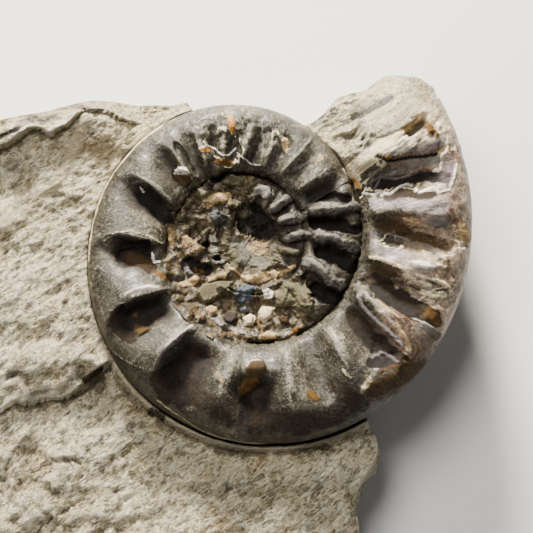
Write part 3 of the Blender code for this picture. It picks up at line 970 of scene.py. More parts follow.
# %% Named colours
def srgb(red, green, blue):
    """A screen colour, 0 to 255, as the linear colour that a material takes."""
    return tuple(((part / 255.0 + 0.055) / 1.055) ** 2.4 if part > 10 else part / 255.0 / 12.92
                 for part in (red, green, blue))


TONES = {
    "black": srgb(22, 17, 14), "umber": srgb(46, 35, 22), "dark": srgb(52, 44, 38),
    "amber": srgb(74, 57, 32), "brown": srgb(82, 65, 38), "rust": srgb(108, 78, 34),
    "orange": srgb(202, 146, 80), "tan": srgb(190, 164, 124), "olive": srgb(104, 98, 76),
    "slate": srgb(84, 92, 100), "violet": srgb(104, 92, 96), "lilac": srgb(160, 150, 152),
    "grey": srgb(128, 124, 118), "cream": srgb(216, 202, 172), "white": srgb(238, 232, 218),
}
print(len(TONES), "tones")

# %% Painting with strokes and chips
RAGGED_PIXELS = 1.6
RAGGED_LEAST, RAGGED_GROWTH = 0.25, 0.22
STROKE_EDGE = (0.55, 1.3)
CHIP_EDGE = (0.0, 0.7)
# a chip's sides climb this many mm in a pixel, and its face is at least this high
CHIP_CLIMB, CHIP_LEAST = 0.16, 0.04
LEAST_AMOUNT = 1e-4


def laid(colour, amount, tone, cover):
    """The colour and the amount of paint after one more tone is laid over them."""
    colour = colour * (1.0 - cover[..., None]) + np.array(TONES[tone]) * cover[..., None]
    return colour, amount + cover * (1.0 - amount)


def painted(points, strokes, chips, ragged):
    """Each point's colour from strokes and chips, its amount, their rise in mm, and where chips lie."""
    across, down = picture_place(points)
    colour, amount = np.zeros(points.shape), np.zeros(points.shape[:-1])
    rise, calm = np.zeros(points.shape[:-1]), np.zeros(points.shape[:-1])
    for tone, half_width, strength, height, line in strokes:
        jag = RAGGED_PIXELS * (RAGGED_LEAST + RAGGED_GROWTH * half_width) * ragged
        reach = line_distance(across + jag, down - jag, line) / half_width
        colour, amount = laid(colour, amount, tone, strength * (1.0 - smooth(*STROKE_EDGE, reach)))
        rise += height * np.sqrt(1.0 - np.clip(reach, 0.0, 1.0) ** 2)
    for tone, height, lean_across, lean_up, corners in chips:
        middle = np.mean(corners, axis=0)
        half = np.abs(np.array(corners) - middle).max()
        within = inside_distance(across, down, corners)
        face = height + lean_across * (across - middle[0]) / half + lean_up * (middle[1] - down) / half
        top = np.minimum(np.maximum(face, CHIP_LEAST), within * CHIP_CLIMB)
        cover = smooth(*CHIP_EDGE, within)
        rise = np.where(within > 0.0, rise * (1.0 - cover) + top, rise)
        calm = np.maximum(calm, cover)
        colour, amount = laid(colour, amount, tone, cover)
    colour = colour / np.maximum(amount, LEAST_AMOUNT)[..., None]
    return np.concatenate([colour, np.ones(amount.shape + (1,))], axis=-1), amount, rise, calm


print("a chip climbs", CHIP_CLIMB, "mm in a pixel")

# %% [markdown]
# ## Crusts, crystals, stains, painted shade and painted highlights on the shell
#
# These strokes and chips were read off the photograph one by one, and later ones lie over earlier ones.
# They go roughly round the shell: from the aperture at the upper right down the right side, along the
# bottom, up the left side and over the top.

# %% Strokes on the last turn
SHELL_STROKES = (
    # tone, half width in pixels, strength, rise in mm, and the line in pixels
    ("cream", 9, 1.0, 0.0, ((356, 168), (378, 150), (404, 134), (430, 112))),
    ("cream", 8, 1.0, 0.0, ((384, 150), (410, 144), (436, 136), (444, 124))),
    ("lilac", 4, 0.7, 0.0, ((408, 150), (430, 147), (444, 140))),
    ("dark", 5, 0.9, -0.5, ((409, 132), (418, 126), (424, 124))),
    ("tan", 2.2, 0.8, 0.15, ((396, 139), (408, 128), (422, 118))),
    ("grey", 6, 0.6, 0.0, ((372, 176), (392, 171), (417, 163), (434, 160))),
    ("black", 2.0, 1.0, -0.2, ((377, 156), (388, 160), (404, 158.5), (436, 154))),
    # painted shade in a rib hollow
    ("black", 6, 0.9, -0.15, ((378, 185), (400, 181), (425, 176), (446, 178))),
    ("umber", 5, 0.7, 0.0, ((388, 196), (410, 192), (428, 196))),
    ("lilac", 8, 0.62, 0.05, ((374, 203), (400, 207), (426, 207), (446, 208))),
    ("umber", 4, 0.8, 0.0, ((388, 198), (408, 192), (420, 197), (434, 194))),
    ("violet", 8, 0.6, 0.0, ((446, 160), (449, 182))),
    ("grey", 1.0, 0.9, 0.06, ((373, 191), (380, 178), (397, 178.5), (413, 174), (419, 171))),
    ("white", 1.25, 0.95, 0.12, ((362, 193), (373, 195), (380, 192), (390, 194), (399, 187), (407, 184),
        (412, 185), (420, 192), (433, 187), (439, 193), (449, 190), (454, 177), (456, 165))),
    ("tan", 2.6, 0.9, 0.05, ((404, 219), (418, 222))),
    ("grey", 7, 0.7, 0.0, ((432, 222), (447, 222))),
    ("amber", 7, 0.7, -0.1, ((380, 224), (400, 230), (430, 240), (448, 246))),
    ("grey", 1.1, 0.85, 0.06, ((388, 233), (399, 237), (415, 243), (425, 246), (435, 253), (443, 260))),
    ("lilac", 6, 0.5, 0.0, ((372, 246), (396, 254), (416, 258))),
    ("cream", 2.6, 0.72, 0.05, ((371, 257), (384, 260), (397, 266), (409, 271))),
    ("brown", 4, 0.7, 0.0, ((373, 268), (384, 271), (394, 275))),
    ("umber", 9, 0.9, -0.12, ((370, 279), (388, 290), (404, 300), (420, 310), (434, 319))),
    ("cream", 10, 0.45, 0.06, ((408, 280), (430, 288), (450, 292))),
    ("cream", 2.0, 0.85, 0.14, ((405, 275), (414, 280))),
    ("cream", 2.2, 0.85, 0.14, ((417, 283), (428, 287))),
    ("cream", 1.8, 0.85, 0.12, ((422, 293), (434, 297), (445, 296))),
    ("cream", 1.8, 0.85, 0.12, ((433, 278), (444, 284), (452, 293))),
    ("dark", 1.8, 0.85, -0.14, ((410, 286), (420, 290))),
    ("dark", 1.5, 0.85, -0.12, ((428, 281), (438, 286))),
    ("dark", 1.4, 0.85, -0.12, ((436, 291), (447, 290))),
    # painted shade in a rib hollow
    ("black", 6, 0.85, 0.0, ((374, 288), (388, 299), (402, 308), (416, 316))),
    ("rust", 5, 0.9, 0.0, ((430, 312), (438, 322))),
    ("white", 0.9, 0.7, 0.05, ((412, 318), (424, 322), (437, 330))),
    ("grey", 6, 0.6, 0.0, ((420, 328), (434, 334))),
    ("lilac", 3.4, 0.6, 0.05, ((357, 297), (372, 316), (386, 329), (399, 342))),
    ("white", 0.9, 0.6, 0.05, ((357, 297), (372, 316), (386, 329), (399, 342), (409, 352))),
    ("tan", 2.2, 0.8, 0.06, ((380, 303), (390, 311), (399, 318))),
    ("tan", 2.6, 0.85, 0.06, ((398, 326), (404, 337), (410, 350))),
    ("umber", 9, 0.85, 0.0, ((352, 314), (362, 328), (376, 342), (392, 355), (404, 361))),
    # painted shade in a rib hollow
    ("black", 6, 0.75, 0.0, ((356, 324), (366, 337), (380, 350), (394, 358))),
    ("black", 7, 1.0, -0.15, ((373, 362), (386, 361), (392, 358))),
    ("lilac", 1.2, 0.6, 0.05, ((371, 357), (382, 352), (392, 357), (398, 361))),
    ("brown", 13, 0.5, 0.05, ((378, 392), (402, 380), (424, 362), (434, 346))),
    ("rust", 1.3, 0.6, 0.05, ((363, 391), (366, 379), (377, 372), (390, 367), (412, 361), (419, 350),
        (415, 341))),
    ("brown", 8, 0.6, 0.12, ((374, 388), (390, 378), (406, 369))),
    ("brown", 7, 0.6, 0.08, ((392, 382), (410, 374), (424, 366))),
    ("cream", 2.4, 0.6, 0.04, ((362, 392), (365, 384), (370, 378))),
    ("grey", 1.2, 0.8, 0.05, ((324, 328), (332, 341), (345, 362))),
    ("cream", 2.4, 0.62, 0.03, ((342, 368), (346, 373), (351, 378))),
    ("cream", 2.4, 0.55, 0.03, ((341, 333), (343, 339))),
    ("grey", 1.4, 0.6, 0.03, ((286, 344), (284, 360), (287, 376), (285, 394))),
    ("umber", 15, 0.62, 0.0, ((196, 392), (222, 412), (256, 422), (300, 424), (336, 414), (358, 402))),
    ("umber", 8, 0.6, 0.0, ((328, 384), (342, 392), (352, 398))),
    ("rust", 4, 0.85, 0.10, ((309, 393), (317, 397))),
    ("brown", 5, 0.7, 0.05, ((243, 379), (254, 376), (263, 371))),
    ("tan", 3, 0.7, 0.0, ((218, 374), (222, 382))),
    ("umber", 12, 0.7, 0.0, ((158, 378), (168, 392), (182, 396))),
    # the black strokes from here to the crest highlights below are painted shade deep in the rib hollows
    ("black", 10, 0.9, -0.05, ((170, 372), (176, 386), (182, 398))),
    ("black", 8, 0.95, -0.10, ((246, 402), (248, 411), (246, 418))),
    ("umber", 8, 0.8, 0.0, ((114, 318), (120, 330), (130, 338))),
    ("black", 7, 0.85, 0.0, ((120, 310), (124, 322), (128, 332))),
    ("black", 9, 0.7, -0.10, ((146, 196), (158, 208), (168, 218))),
    ("black", 6, 0.85, -0.15, ((120, 252), (130, 246), (146, 246))),
    # the seven strokes below, grey, white and cream, are painted highlights along the rib crests on the left
    # and at the bottom
    ("grey", 4.0, 0.6, 0.04, ((122, 297), (132, 290), (146, 287), (160, 288), (172, 290))),
    ("white", 1.3, 0.6, 0.03, ((125, 294), (134, 289), (147, 286), (158, 287))),
    ("grey", 4.5, 0.6, 0.04, ((160, 352), (172, 341), (186, 330), (201, 324))),
    ("white", 1.3, 0.5, 0.03, ((165, 346), (178, 335), (192, 326))),
    ("grey", 5.0, 0.5, 0.02, ((216, 376), (224, 364), (238, 350))),
    ("cream", 1.1, 0.6, 0.04, ((104, 241), (116, 232), (130, 231), (148, 236), (162, 243))),
    ("grey", 2.4, 0.6, 0.04, ((134, 183), (146, 180), (160, 190), (172, 202))),
    ("cream", 0.8, 0.7, 0.03, ((114, 351), (122, 359), (133, 365), (146, 369))),
    ("cream", 0.9, 0.7, 0.04, ((158, 400), (172, 411), (185, 420), (203, 431), (221, 438), (245, 443),
        (270, 445), (299, 444), (322, 439))),
    ("white", 1.0, 0.7, 0.02, ((246, 367), (252, 360), (262, 360))),
    ("rust", 2.2, 0.9, 0.05, ((154, 271), (164, 277), (174, 282))),
    ("umber", 8, 0.8, 0.0, ((128, 257), (140, 261), (152, 264))),
    ("brown", 5, 0.7, 0.06, ((130, 258), (140, 262), (150, 262))),
    ("white", 1.3, 0.9, 0.06, ((152, 253), (155, 261), (160, 261))),
    ("white", 1.0, 0.9, 0.03, ((140, 188), (143, 192))),
    ("orange", 3.0, 0.9, 0.05, ((202, 150), (209, 150))),
    ("rust", 4, 0.9, 0.05, ((218, 162), (230, 163))),
    ("white", 1.2, 0.9, 0.08, ((199, 148), (207, 145), (215, 149), (222, 155), (229, 155), (236, 148))),
    ("white", 1.1, 0.8, 0.06, ((237, 152), (251, 164), (260, 165))),
    ("cream", 1.2, 0.8, 0.06, ((272, 137), (273, 131), (277, 131), (279, 136), (285, 138))),
    ("violet", 5, 0.5, 0.0, ((276, 148), (272, 160))),
    ("cream", 1.0, 0.75, 0.05, ((163, 125), (150, 134), (137, 145), (124, 160), (113, 174), (104, 190),
        (98, 206), (93, 224), (90, 242), (89, 262))),
    ("grey", 2.2, 0.5, 0.06, ((320, 157), (308, 163), (296, 170))),
    ("grey", 1.6, 0.6, 0.06, ((311, 139), (298, 156), (284, 170))),
    ("grey", 1.6, 0.6, 0.06, ((262, 121), (263, 140), (262, 160))),
    ("cream", 9, 0.35, 0.0, ((226, 112), (238, 124), (246, 130))),
    ("tan", 2.4, 0.7, 0.05, ((318, 160), (322, 158))),
    ("cream", 5, 0.8, 0.10, ((348, 168), (353, 176), (356, 184))),
    ("orange", 2.2, 0.9, 0.08, ((354, 180), (361, 189))),
    ("tan", 6, 0.8, 0.0, ((462, 226), (466, 238))),
)
print(len(SHELL_STROKES), "strokes on the last turn")

# %% Chips on the last turn
SHELL_CHIPS = (
    # tone, rise in mm, lean to the right and upwards in mm, and the corners, clockwise in the photograph
    ("white", 0.40, 0.05, 0.15, ((399, 143), (402, 136), (408, 134), (409, 141), (404, 147))),
    ("white", 0.34, 0.05, 0.10, ((388, 152), (395, 148), (404, 149), (402, 155), (392, 156))),
    ("white", 0.30, 0.00, 0.05, ((436, 125), (439, 122), (442, 126), (440, 130), (437, 129))),
    ("rust", 0.24, 0.10, -0.10, ((425, 120), (431, 124), (440, 135), (436, 138), (427, 133))),
    ("orange", 0.20, 0.00, 0.05, ((384, 157), (390, 154), (392, 158), (386, 160))),
    ("white", 0.40, 0.10, 0.10, ((411, 262), (418, 259), (428, 262), (436, 267), (434, 272), (422, 270),
        (413, 267))),
    ("amber", 0.50, 0.10, -0.30, ((172, 174), (189, 172), (192, 182), (186, 188), (177, 184))),
    ("white", 0.42, 0.00, 0.25, ((174, 171), (177, 166), (187, 167), (190, 173), (182, 175), (173, 174))),
    ("orange", 0.26, 0.10, 0.10, ((227, 117), (232, 115), (236, 126), (234, 136), (229, 130))),
    ("tan", 0.22, 0.08, 0.05, ((281, 139), (288, 138), (290, 144), (287, 155), (282, 150))),
    ("brown", 0.26, 0.05, 0.0, ((133, 322), (141, 324), (153, 329), (146, 333), (139, 337), (134, 331))),
    ("brown", 0.20, 0.05, 0.05, ((131, 315), (136, 312), (140, 316), (136, 320))),
    ("rust", 0.26, 0.10, 0.12, ((237, 388), (246, 380), (258, 378), (262, 383), (252, 391), (241, 396))),
    ("brown", 0.24, 0.05, 0.15, ((245, 368), (251, 361), (262, 360), (267, 367), (262, 375), (249, 376))),
)

last_colour, last_amount, last_rise, _ = painted(last_points, SHELL_STROKES, SHELL_CHIPS, ragged)
lift += last_rise * above
last_points = placed(last_turn, lift)
print(len(SHELL_CHIPS), "chips on the last turn")

# %% [markdown]
# ## The shell's finish
#
# The calcite is a dark brown grey, satin where it is worn. It is palest on the crests, from wear and a
# painted highlight, nearly black in the hollows with painted shade, and white along fresh edges. Fine striae
# run along the ribs: they are noise stretched along the share of the flank, which the mesh carries with the
# angle as a pair of numbers. The finish is built in layers, one function for each.

# %% Noises and masks of the shell
STAIN_DEG = 20.0


def shell_values(finish):
    """What the shell's layers share: the mesh's masks, and noises from slow clouds to fine sparkle."""
    growth = finish.colours("growth")
    shell = SimpleNamespace(
        cloud=finish.speckle(1.5, 5.0, 0.62),
        fine=finish.speckle(0.14, 3.0, 0.7),
        flecks=finish.speckle(0.3, 4.0, 0.75),
        dust=finish.speckle(2.4, 5.0, 0.7),
        stains=finish.speckle(1.9, 5.0, 0.65, (1.0, 1.6, 1.0), STAIN_DEG),
        grains=finish.speckle(0.38, 5.0, 0.7),
        striae=finish.noise(growth, 1.0, 5.0, 0.7),
        streaks=finish.noise(growth, 3.4, 3.0, 0.65),
    )
    for name in ("hollow", "crest", "rim", "warm", "grit", "amount"):
        setattr(shell, name, finish.mask(name))
    # shade is painted shade: the dark of the hollows from their mask, broken by noise
    shell.shade = (shell.hollow + shell.cloud * 0.6 + shell.flecks * 0.3 - 0.45).between(0.12, 1.0)
    paint = shell.amount + shell.fine * 0.8 + shell.flecks * 0.9 + shell.dust * 0.6 - 1.15
    shell.stroke = paint.between(0.35, 0.7)
    return shell


print("the shell's noises are ready to be called")

# %% Layers of the shell's colour
BROWN_STAIN = srgb(98, 70, 50)
PALE_STAIN = srgb(150, 136, 124)
WORN_CREST_HIGHLIGHT = srgb(206, 198, 182)
HOLLOW_SHADE_UMBER = srgb(58, 38, 24)


def calcite_ground(finish, shell, ground, pale, worn):
    """The clouded ground, and where the shell is warm, its brown and pale stains."""
    colour = finish.mix(shell.cloud.between(0.35, 0.68), ground, pale)
    colour = finish.mix(shell.striae.between(0.48, 0.8) * 0.28, colour, worn)
    colour = finish.mix((shell.dust * 0.7 + shell.flecks * 0.6).between(0.66, 0.86) * 0.6, colour, worn)
    brown = (shell.warm + shell.stains * 1.2 - 1.0).between(0.2, 0.6)
    colour = finish.mix(brown * 0.85, colour, BROWN_STAIN)
    colour = finish.mix((shell.warm + shell.dust * 1.3 - 1.1).between(0.3, 0.6) * 0.8, colour, PALE_STAIN)
    tan = (shell.warm * 0.6 + shell.flecks + shell.dust * 0.4 - 1.0).between(0.3, 0.42)
    return finish.mix(tan * 0.8, colour, TONES["tan"])


def calcite_wear(finish, shell, colour, worn):
    """Worn crests with a painted highlight, painted shade in the hollows, specks with painted sparkle, and
    white along fresh edges.
    """
    crests = (shell.crest * 0.7 + shell.cloud * 1.0 + shell.flecks * 0.8 - 0.95).between(0.35, 0.9)
    # pale crests: wear and a painted highlight
    colour = finish.mix(crests * 0.6, colour, worn)
    colour = finish.mix(crests * shell.fine.between(0.5, 0.66) * 0.6, colour, WORN_CREST_HIGHLIGHT)
    # painted shade in the hollows: black with an umber tinge
    umber = finish.mix(shell.dust.between(0.4, 0.62) * 0.5, TONES["black"], HOLLOW_SHADE_UMBER)
    colour = finish.mix(shell.shade * 0.95, colour, umber)
    # pale specks, which also stand for painted sparkle, only where there is no painted shade
    outside_painted_shade = 1.0 - shell.shade
    colour = finish.mix(shell.fine.between(0.53, 0.68) * outside_painted_shade * 0.42, colour, worn)
    colour = finish.mix(shell.fine.between(0.47, 0.36) * 0.35, colour, TONES["dark"])
    colour = finish.mix(shell.flecks.between(0.65, 0.74) * outside_painted_shade * 0.45, colour, TONES["white"])
    colour = finish.mix(shell.flecks.between(0.40, 0.32) * 0.7, colour, TONES["black"])
    return finish.mix((shell.rim + shell.fine * 0.5 - 0.25).between(0.45, 0.75), colour, TONES["cream"])


def sediment_colour(finish, shell):
    """The crust in the hollow of the coil: brown grains with beige and grey ones, and painted shade in its
    low places.
    """
    crust = finish.mix(shell.grains.between(0.38, 0.62), srgb(44, 35, 26), srgb(96, 84, 62))
    crust = finish.mix(shell.cloud.between(0.50, 0.64) * 0.6, crust, srgb(140, 124, 96))
    crust = finish.mix(shell.stains.between(0.42, 0.34) * 0.6, crust, srgb(74, 74, 70))
    crust = finish.mix(shell.grains.between(0.62, 0.76) * 0.3, crust, srgb(176, 162, 128))
    # painted shade on the crust where the shade mask is high
    return finish.mix(shell.shade * 0.9, crust, TONES["black"])


def stroke_tint(finish, shell):
    """The painted strokes' own colour, with darker grains and with streaks that run along the ribs."""
    tint = finish.mix(shell.grains.between(0.35, 0.65) * 0.35, finish.colours("tint"), TONES["dark"])
    tint = finish.mix(shell.streaks.between(0.52, 0.38) * 0.4, tint, TONES["dark"])
    return finish.mix(shell.streaks.between(0.52, 0.66) * 0.55, tint, (1.7, 1.65, 1.55), "MULTIPLY")


print("four layers of colour")

# %% Finish of the shell
COAT, COAT_ROUGHNESS = 0.25, 0.3


def shell_finish(name, ground, pale, worn):
    """Dark calcite from its layers, satin where it is worn and dull in the hollows and on crusts."""
    finish = Finish(name)
    shell = shell_values(finish)
    colour = calcite_ground(finish, shell, ground, pale, worn)
    colour = calcite_wear(finish, shell, colour, worn)
    colour = finish.mix(shell.grit, colour, sediment_colour(finish, shell))
    colour = finish.mix(shell.stroke, colour, stroke_tint(finish, shell))
    rough = 0.36 + 0.3 * shell.fine + 0.3 * shell.shade + 0.34 * shell.stroke
    coat = COAT * (1.0 - shell.shade) * (1.0 - shell.stroke)
    grained = finish.bump(shell.striae * 0.4 + shell.flecks * 0.8 + shell.dust * 0.6, 0.14, 0.8)
    finish.wear(Base_Color=colour, Roughness=rough, Coat_Weight=coat, Coat_Roughness=COAT_ROUGHNESS,
                Normal=finish.bump(shell.fine, 0.03, 0.7, grained))
    return finish


last_finish = shell_finish("last turn calcite", srgb(46, 41, 34), srgb(80, 76, 64), srgb(160, 153, 133))
inner_finish = shell_finish("inner turns calcite", srgb(38, 33, 28), srgb(70, 64, 54), srgb(140, 132, 112))
print("two shell finishes")

# %% [markdown]
# ## The last turn as a piece
#
# The swept grid closes round its section and is open at its start and at the aperture, where the fans
# close it. Its masks say where painted shade lies in its hollows, where it is worn and takes a painted
# highlight, where it is broken and where it is warm brown. The shell is browner over the last quarter of
# the turn.

# %% The last turn's mesh
STRIAE_ALONG, STRIAE_ACROSS = 26.0, 1.5


def growth_places(angle, share):
    """The angle and the share of each point, scaled so that noise on them makes striae along the ribs."""
    places = (angle * STRIAE_ALONG, share * STRIAE_ACROSS, np.zeros_like(angle), np.ones_like(angle))
    return np.stack(places, axis=-1)


warm = smooth(290.0, 335.0, turn_deg) * (0.55 + 0.45 * smooth(0.1, 0.5, last_turn["share"]))
last_masks = {
    # painted shade in the rib hollows, weaker on the warm brown and crumbled parts
    "hollow": hollow * above * (1.0 - 0.35 * warm - 0.3 * crumbled),
    "crest": crest * above + 0.4 * crumbled,
    "rim": rim * above,
    "warm": warm,
    "tint": last_colour,
    "amount": last_amount,
    "growth": growth_places(last_turn["angle"], last_turn["share"]),
}
last_middles = np.stack([last_points[0].mean(axis=0), last_points[-1].mean(axis=0)])
make_piece("last_turn", last_points, last_middles, False, last_masks, last_finish,
           "ammonite")

# %% [markdown]
# ## Bars, lumps and chips in the hollow of the coil
#
# The inner ribs on the right stand up as rounded bars, and the gaps between them are painted black as shade.
# The sediment on the left and in front holds crystals and broken bits of shell, and a painted shadow lies
# where the last turn's wall shades it. They are strokes and chips too, with larger rises than on the shell.

# %% Strokes and chips in the hollow of the coil
INNER_STROKES = (
    # tone, half width in pixels, strength, rise in mm, and the line in pixels
    ("grey", 6.0, 0.6, 0.55, ((303, 183), (320, 178), (338, 170))),
    ("grey", 6.0, 0.6, 0.60, ((313, 212), (334, 212), (356, 208))),
    ("grey", 6.5, 0.6, 0.60, ((317, 236), (336, 240), (356, 250))),
    ("grey", 6.5, 0.6, 0.60, ((308, 261), (324, 275), (340, 286))),
    ("olive", 15.0, 0.7, 0.60, ((294, 292), (300, 304))),
    ("grey", 6.0, 0.6, 0.55, ((274, 209), (288, 199))),
    ("grey", 6.5, 0.6, 0.55, ((283, 221), (301, 217))),
    ("grey", 5.5, 0.6, 0.50, ((287, 239), (304, 235))),
    ("olive", 4.0, 0.6, 0.40, ((283, 252), (296, 254))),
    ("grey", 5.0, 0.7, 0.45, ((214, 217), (218, 221))),
    ("grey", 6.0, 0.7, 0.45, ((258, 190), (266, 194))),
    ("olive", 6.0, 0.7, 0.45, ((228, 180), (238, 182))),
    ("olive", 8.0, 0.5, 0.35, ((206, 196), (220, 200))),
    ("dark", 10, 0.55, 0.15, ((218, 222), (230, 238), (240, 256))),
    ("olive", 4.0, 0.55, 0.10, ((234, 216), (228, 228), (226, 242), (228, 252))),
    ("tan", 1.8, 0.8, 0.06, ((226, 266), (234, 271), (244, 278))),
    ("tan", 4.6, 0.85, 0.10, ((248, 279), (258, 279), (268, 276), (276, 274))),
    ("tan", 2.6, 0.8, 0.10, ((276, 275), (286, 271), (295, 266))),
    ("tan", 4.0, 0.7, 0.25, ((171, 232), (172, 246))),
    ("tan", 8.0, 0.45, 0.20, ((184, 242), (198, 250))),
    ("black", 8.0, 1.0, -0.7, ((188, 265), (204, 269))),
    ("rust", 3.0, 0.8, 0.0, ((196, 268), (202, 270))),
    ("black", 3.5, 1.0, -0.5, ((218, 258),)),
    ("black", 3.5, 1.0, -0.5, ((206, 245),)),
    # the black of this deep pit is partly its dark floor and partly painted shade
    ("black", 14.0, 1.0, -0.9, ((248, 215), (256, 222), (264, 228))),
    # painted shadow of the last turn's wall on the hollow of the coil
    ("black", 7.0, 0.9, -0.5, ((214, 176), (230, 170), (256, 168), (274, 178))),
    # the four black strokes below are painted shade in the gaps between the bars
    ("black", 4.5, 1.0, -0.6, ((309, 197), (330, 197), (348, 198))),
    ("black", 6.5, 1.0, -0.7, ((313, 222), (335, 224), (356, 229))),
    ("black", 8.0, 1.0, -0.7, ((324, 251), (340, 259), (351, 267))),
    ("black", 9.0, 1.0, -0.7, ((318, 290), (328, 296), (336, 298))),
    ("olive", 14.0, 0.65, 0.0, ((236, 252), (250, 258), (268, 260))),
    ("grey", 8.0, 0.5, 0.0, ((240, 244), (246, 256), (262, 262))),
    ("tan", 8.0, 0.5, 0.12, ((254, 249), (262, 247))),
    ("tan", 4.0, 0.7, 0.1, ((182, 284), (196, 280))),
    ("olive", 9.0, 0.5, 0.45, ((196, 218), (208, 226))),
    ("tan", 6.0, 0.5, 0.25, ((206, 206), (218, 200), (228, 196))),
    ("olive", 7.0, 0.5, 0.40, ((236, 204), (244, 212))),
    ("cream", 3.0, 0.7, 0.12, ((196, 184), (204, 192))),
    ("slate", 5.0, 0.5, 0.30, ((215, 213), (219, 222))),
    ("tan", 5.0, 0.6, 0.25, ((210, 282), (224, 276))),
    ("olive", 5.0, 0.7, 0.45, ((284, 290), (280, 304))),
    ("lilac", 3.0, 0.5, 0.15, ((182, 262), (190, 274))),
    ("rust", 1.3, 0.5, 0.03, ((177, 283), (190, 305), (205, 320), (222, 332), (242, 337), (252, 338))),
    ("lilac", 3.0, 0.5, 0.12, ((206, 314), (220, 324), (238, 330), (256, 335))),
    ("orange", 1.6, 0.6, 0.05, ((290, 334), (300, 328))),
)
INNER_CHIPS = (
    # tone, rise in mm, lean to the right and upwards in mm, and the corners, clockwise in the photograph
    ("olive", 0.55, 0.05, 0.10, ((195, 293), (202, 284), (221, 279), (235, 281), (233, 289), (217, 301),
        (203, 305))),
    ("slate", 0.45, 0.10, 0.15, ((236, 290), (244, 283), (256, 286), (254, 298), (242, 305), (233, 300))),
    ("cream", 0.55, -0.15, 0.20, ((257, 312), (262, 306), (276, 307), (274, 316), (264, 324), (258, 320))),
    ("dark", 0.45, 0.10, -0.15, ((222, 318), (228, 311), (237, 312), (239, 320), (232, 326), (225, 324))),
    ("tan", 0.42, 0.10, 0.15, ((204, 308), (211, 304), (218, 307), (218, 314), (209, 316))),
    ("cream", 0.45, 0.20, 0.10, ((242, 318), (250, 313), (256, 316), (254, 326), (245, 326))),
    ("amber", 0.45, -0.10, 0.10, ((277, 318), (282, 313), (290, 316), (289, 325), (280, 325))),
    ("rust", 0.40, 0.15, 0.10, ((291, 329), (298, 325), (303, 328), (298, 335), (293, 334))),
    ("white", 0.40, -0.10, 0.20, ((262, 291), (268, 288), (274, 291), (272, 299), (264, 300))),
    ("amber", 0.35, 0.10, 0.10, ((252, 294), (257, 292), (259, 299), (254, 301))),
    ("rust", 0.30, 0.10, -0.10, ((256, 322), (260, 320), (262, 330), (258, 332))),
    ("tan", 0.40, -0.10, 0.20, ((258, 336), (268, 330), (280, 334), (276, 340), (264, 341))),
    ("cream", 0.30, 0.10, 0.10, ((222, 266), (228, 262), (232, 268), (227, 273))),
    ("tan", 0.35, 0.15, 0.15, ((180, 236), (188, 234), (194, 244), (186, 248))),
    ("slate", 0.35, 0.10, 0.20, ((238, 308), (246, 306), (250, 312), (240, 314))),
)

inner_points = np.stack([inner_x, inner_y, MID_HEIGHT + inner_level], axis=-1)
inner_colour, inner_amount, inner_rise, inner_calm = painted(
    inner_points, INNER_STROKES, INNER_CHIPS, inner_ragged)
print("the hollow of the coil has", len(INNER_STROKES), "strokes and", len(INNER_CHIPS), "chips")

# %% The nucleus and the loose grains
NUCLEUS = (258.5, 249.0)
NUCLEUS_RADIUS = 18.0
# the first turn shows as fine rings, this far apart in pixels and this high in mm
RING_SPACING, RING_RISE = 3.4, 0.016
NUCLEUS_CALM = 0.75
GRIT_RISE = 0.05

seen_across, seen_down = picture_place(inner_points)
from_nucleus = np.hypot(seen_across - NUCLEUS[0], seen_down - NUCLEUS[1])
nucleus = 1.0 - smooth(NUCLEUS_RADIUS * 0.8, NUCLEUS_RADIUS * 1.2, from_nucleus)
nucleus_rings = RING_RISE * np.cos(math.tau * from_nucleus / RING_SPACING) * nucleus
off_chips = 1.0 - inner_calm
sediment_rise = sediment_rough * buried * off_chips * (1.0 - NUCLEUS_CALM * nucleus)
inner_points[..., 2] += inner_rise + sediment_rise + nucleus_rings * off_chips
inner_points[..., 2] += GRIT_RISE * grain(inner_flat, 0.3, 3, 4.0) * off_chips
print("the nucleus covers", int((nucleus > 0.5).sum()), "points")

# %% The hollow of the coil as a piece
BOTTOM = MID_HEIGHT - 1.2
# how much painted shade the low places of the sediment take
SEDIMENT_PIT_SHADE = 2.0
DARKEST = 1.2


def with_wall(values):
    """The rings of the disc and one more like the last, for the foot of its wall."""
    return np.concatenate([values, values[:, -1:]], axis=1)


clear = 1.0 - buried
inner_masks = {
    # painted shade in the old turns' hollows, darker still where the sediment lies low
    "hollow": np.clip(inner_hollow_shade * clear - SEDIMENT_PIT_SHADE * sediment_rise, 0.0, DARKEST) * off_chips,
    "crest": inner_crest * clear * off_chips,
    "rim": np.zeros_like(buried),
    "grit": buried * off_chips,
    "tint": inner_colour,
    "amount": inner_amount,
    "growth": growth_places(inner_angle, inner_share),
}
disc_points = with_wall(inner_points)
disc_points[:, -1, 2] = BOTTOM
disc_middles = np.stack([inner_points[:, 0].mean(axis=0), np.array((0.0, 0.0, BOTTOM))])
disc_masks = {name: with_wall(values) for name, values in inner_masks.items()}
make_piece("inner_turns", disc_points, disc_middles, True, disc_masks, inner_finish,
           "ammonite")
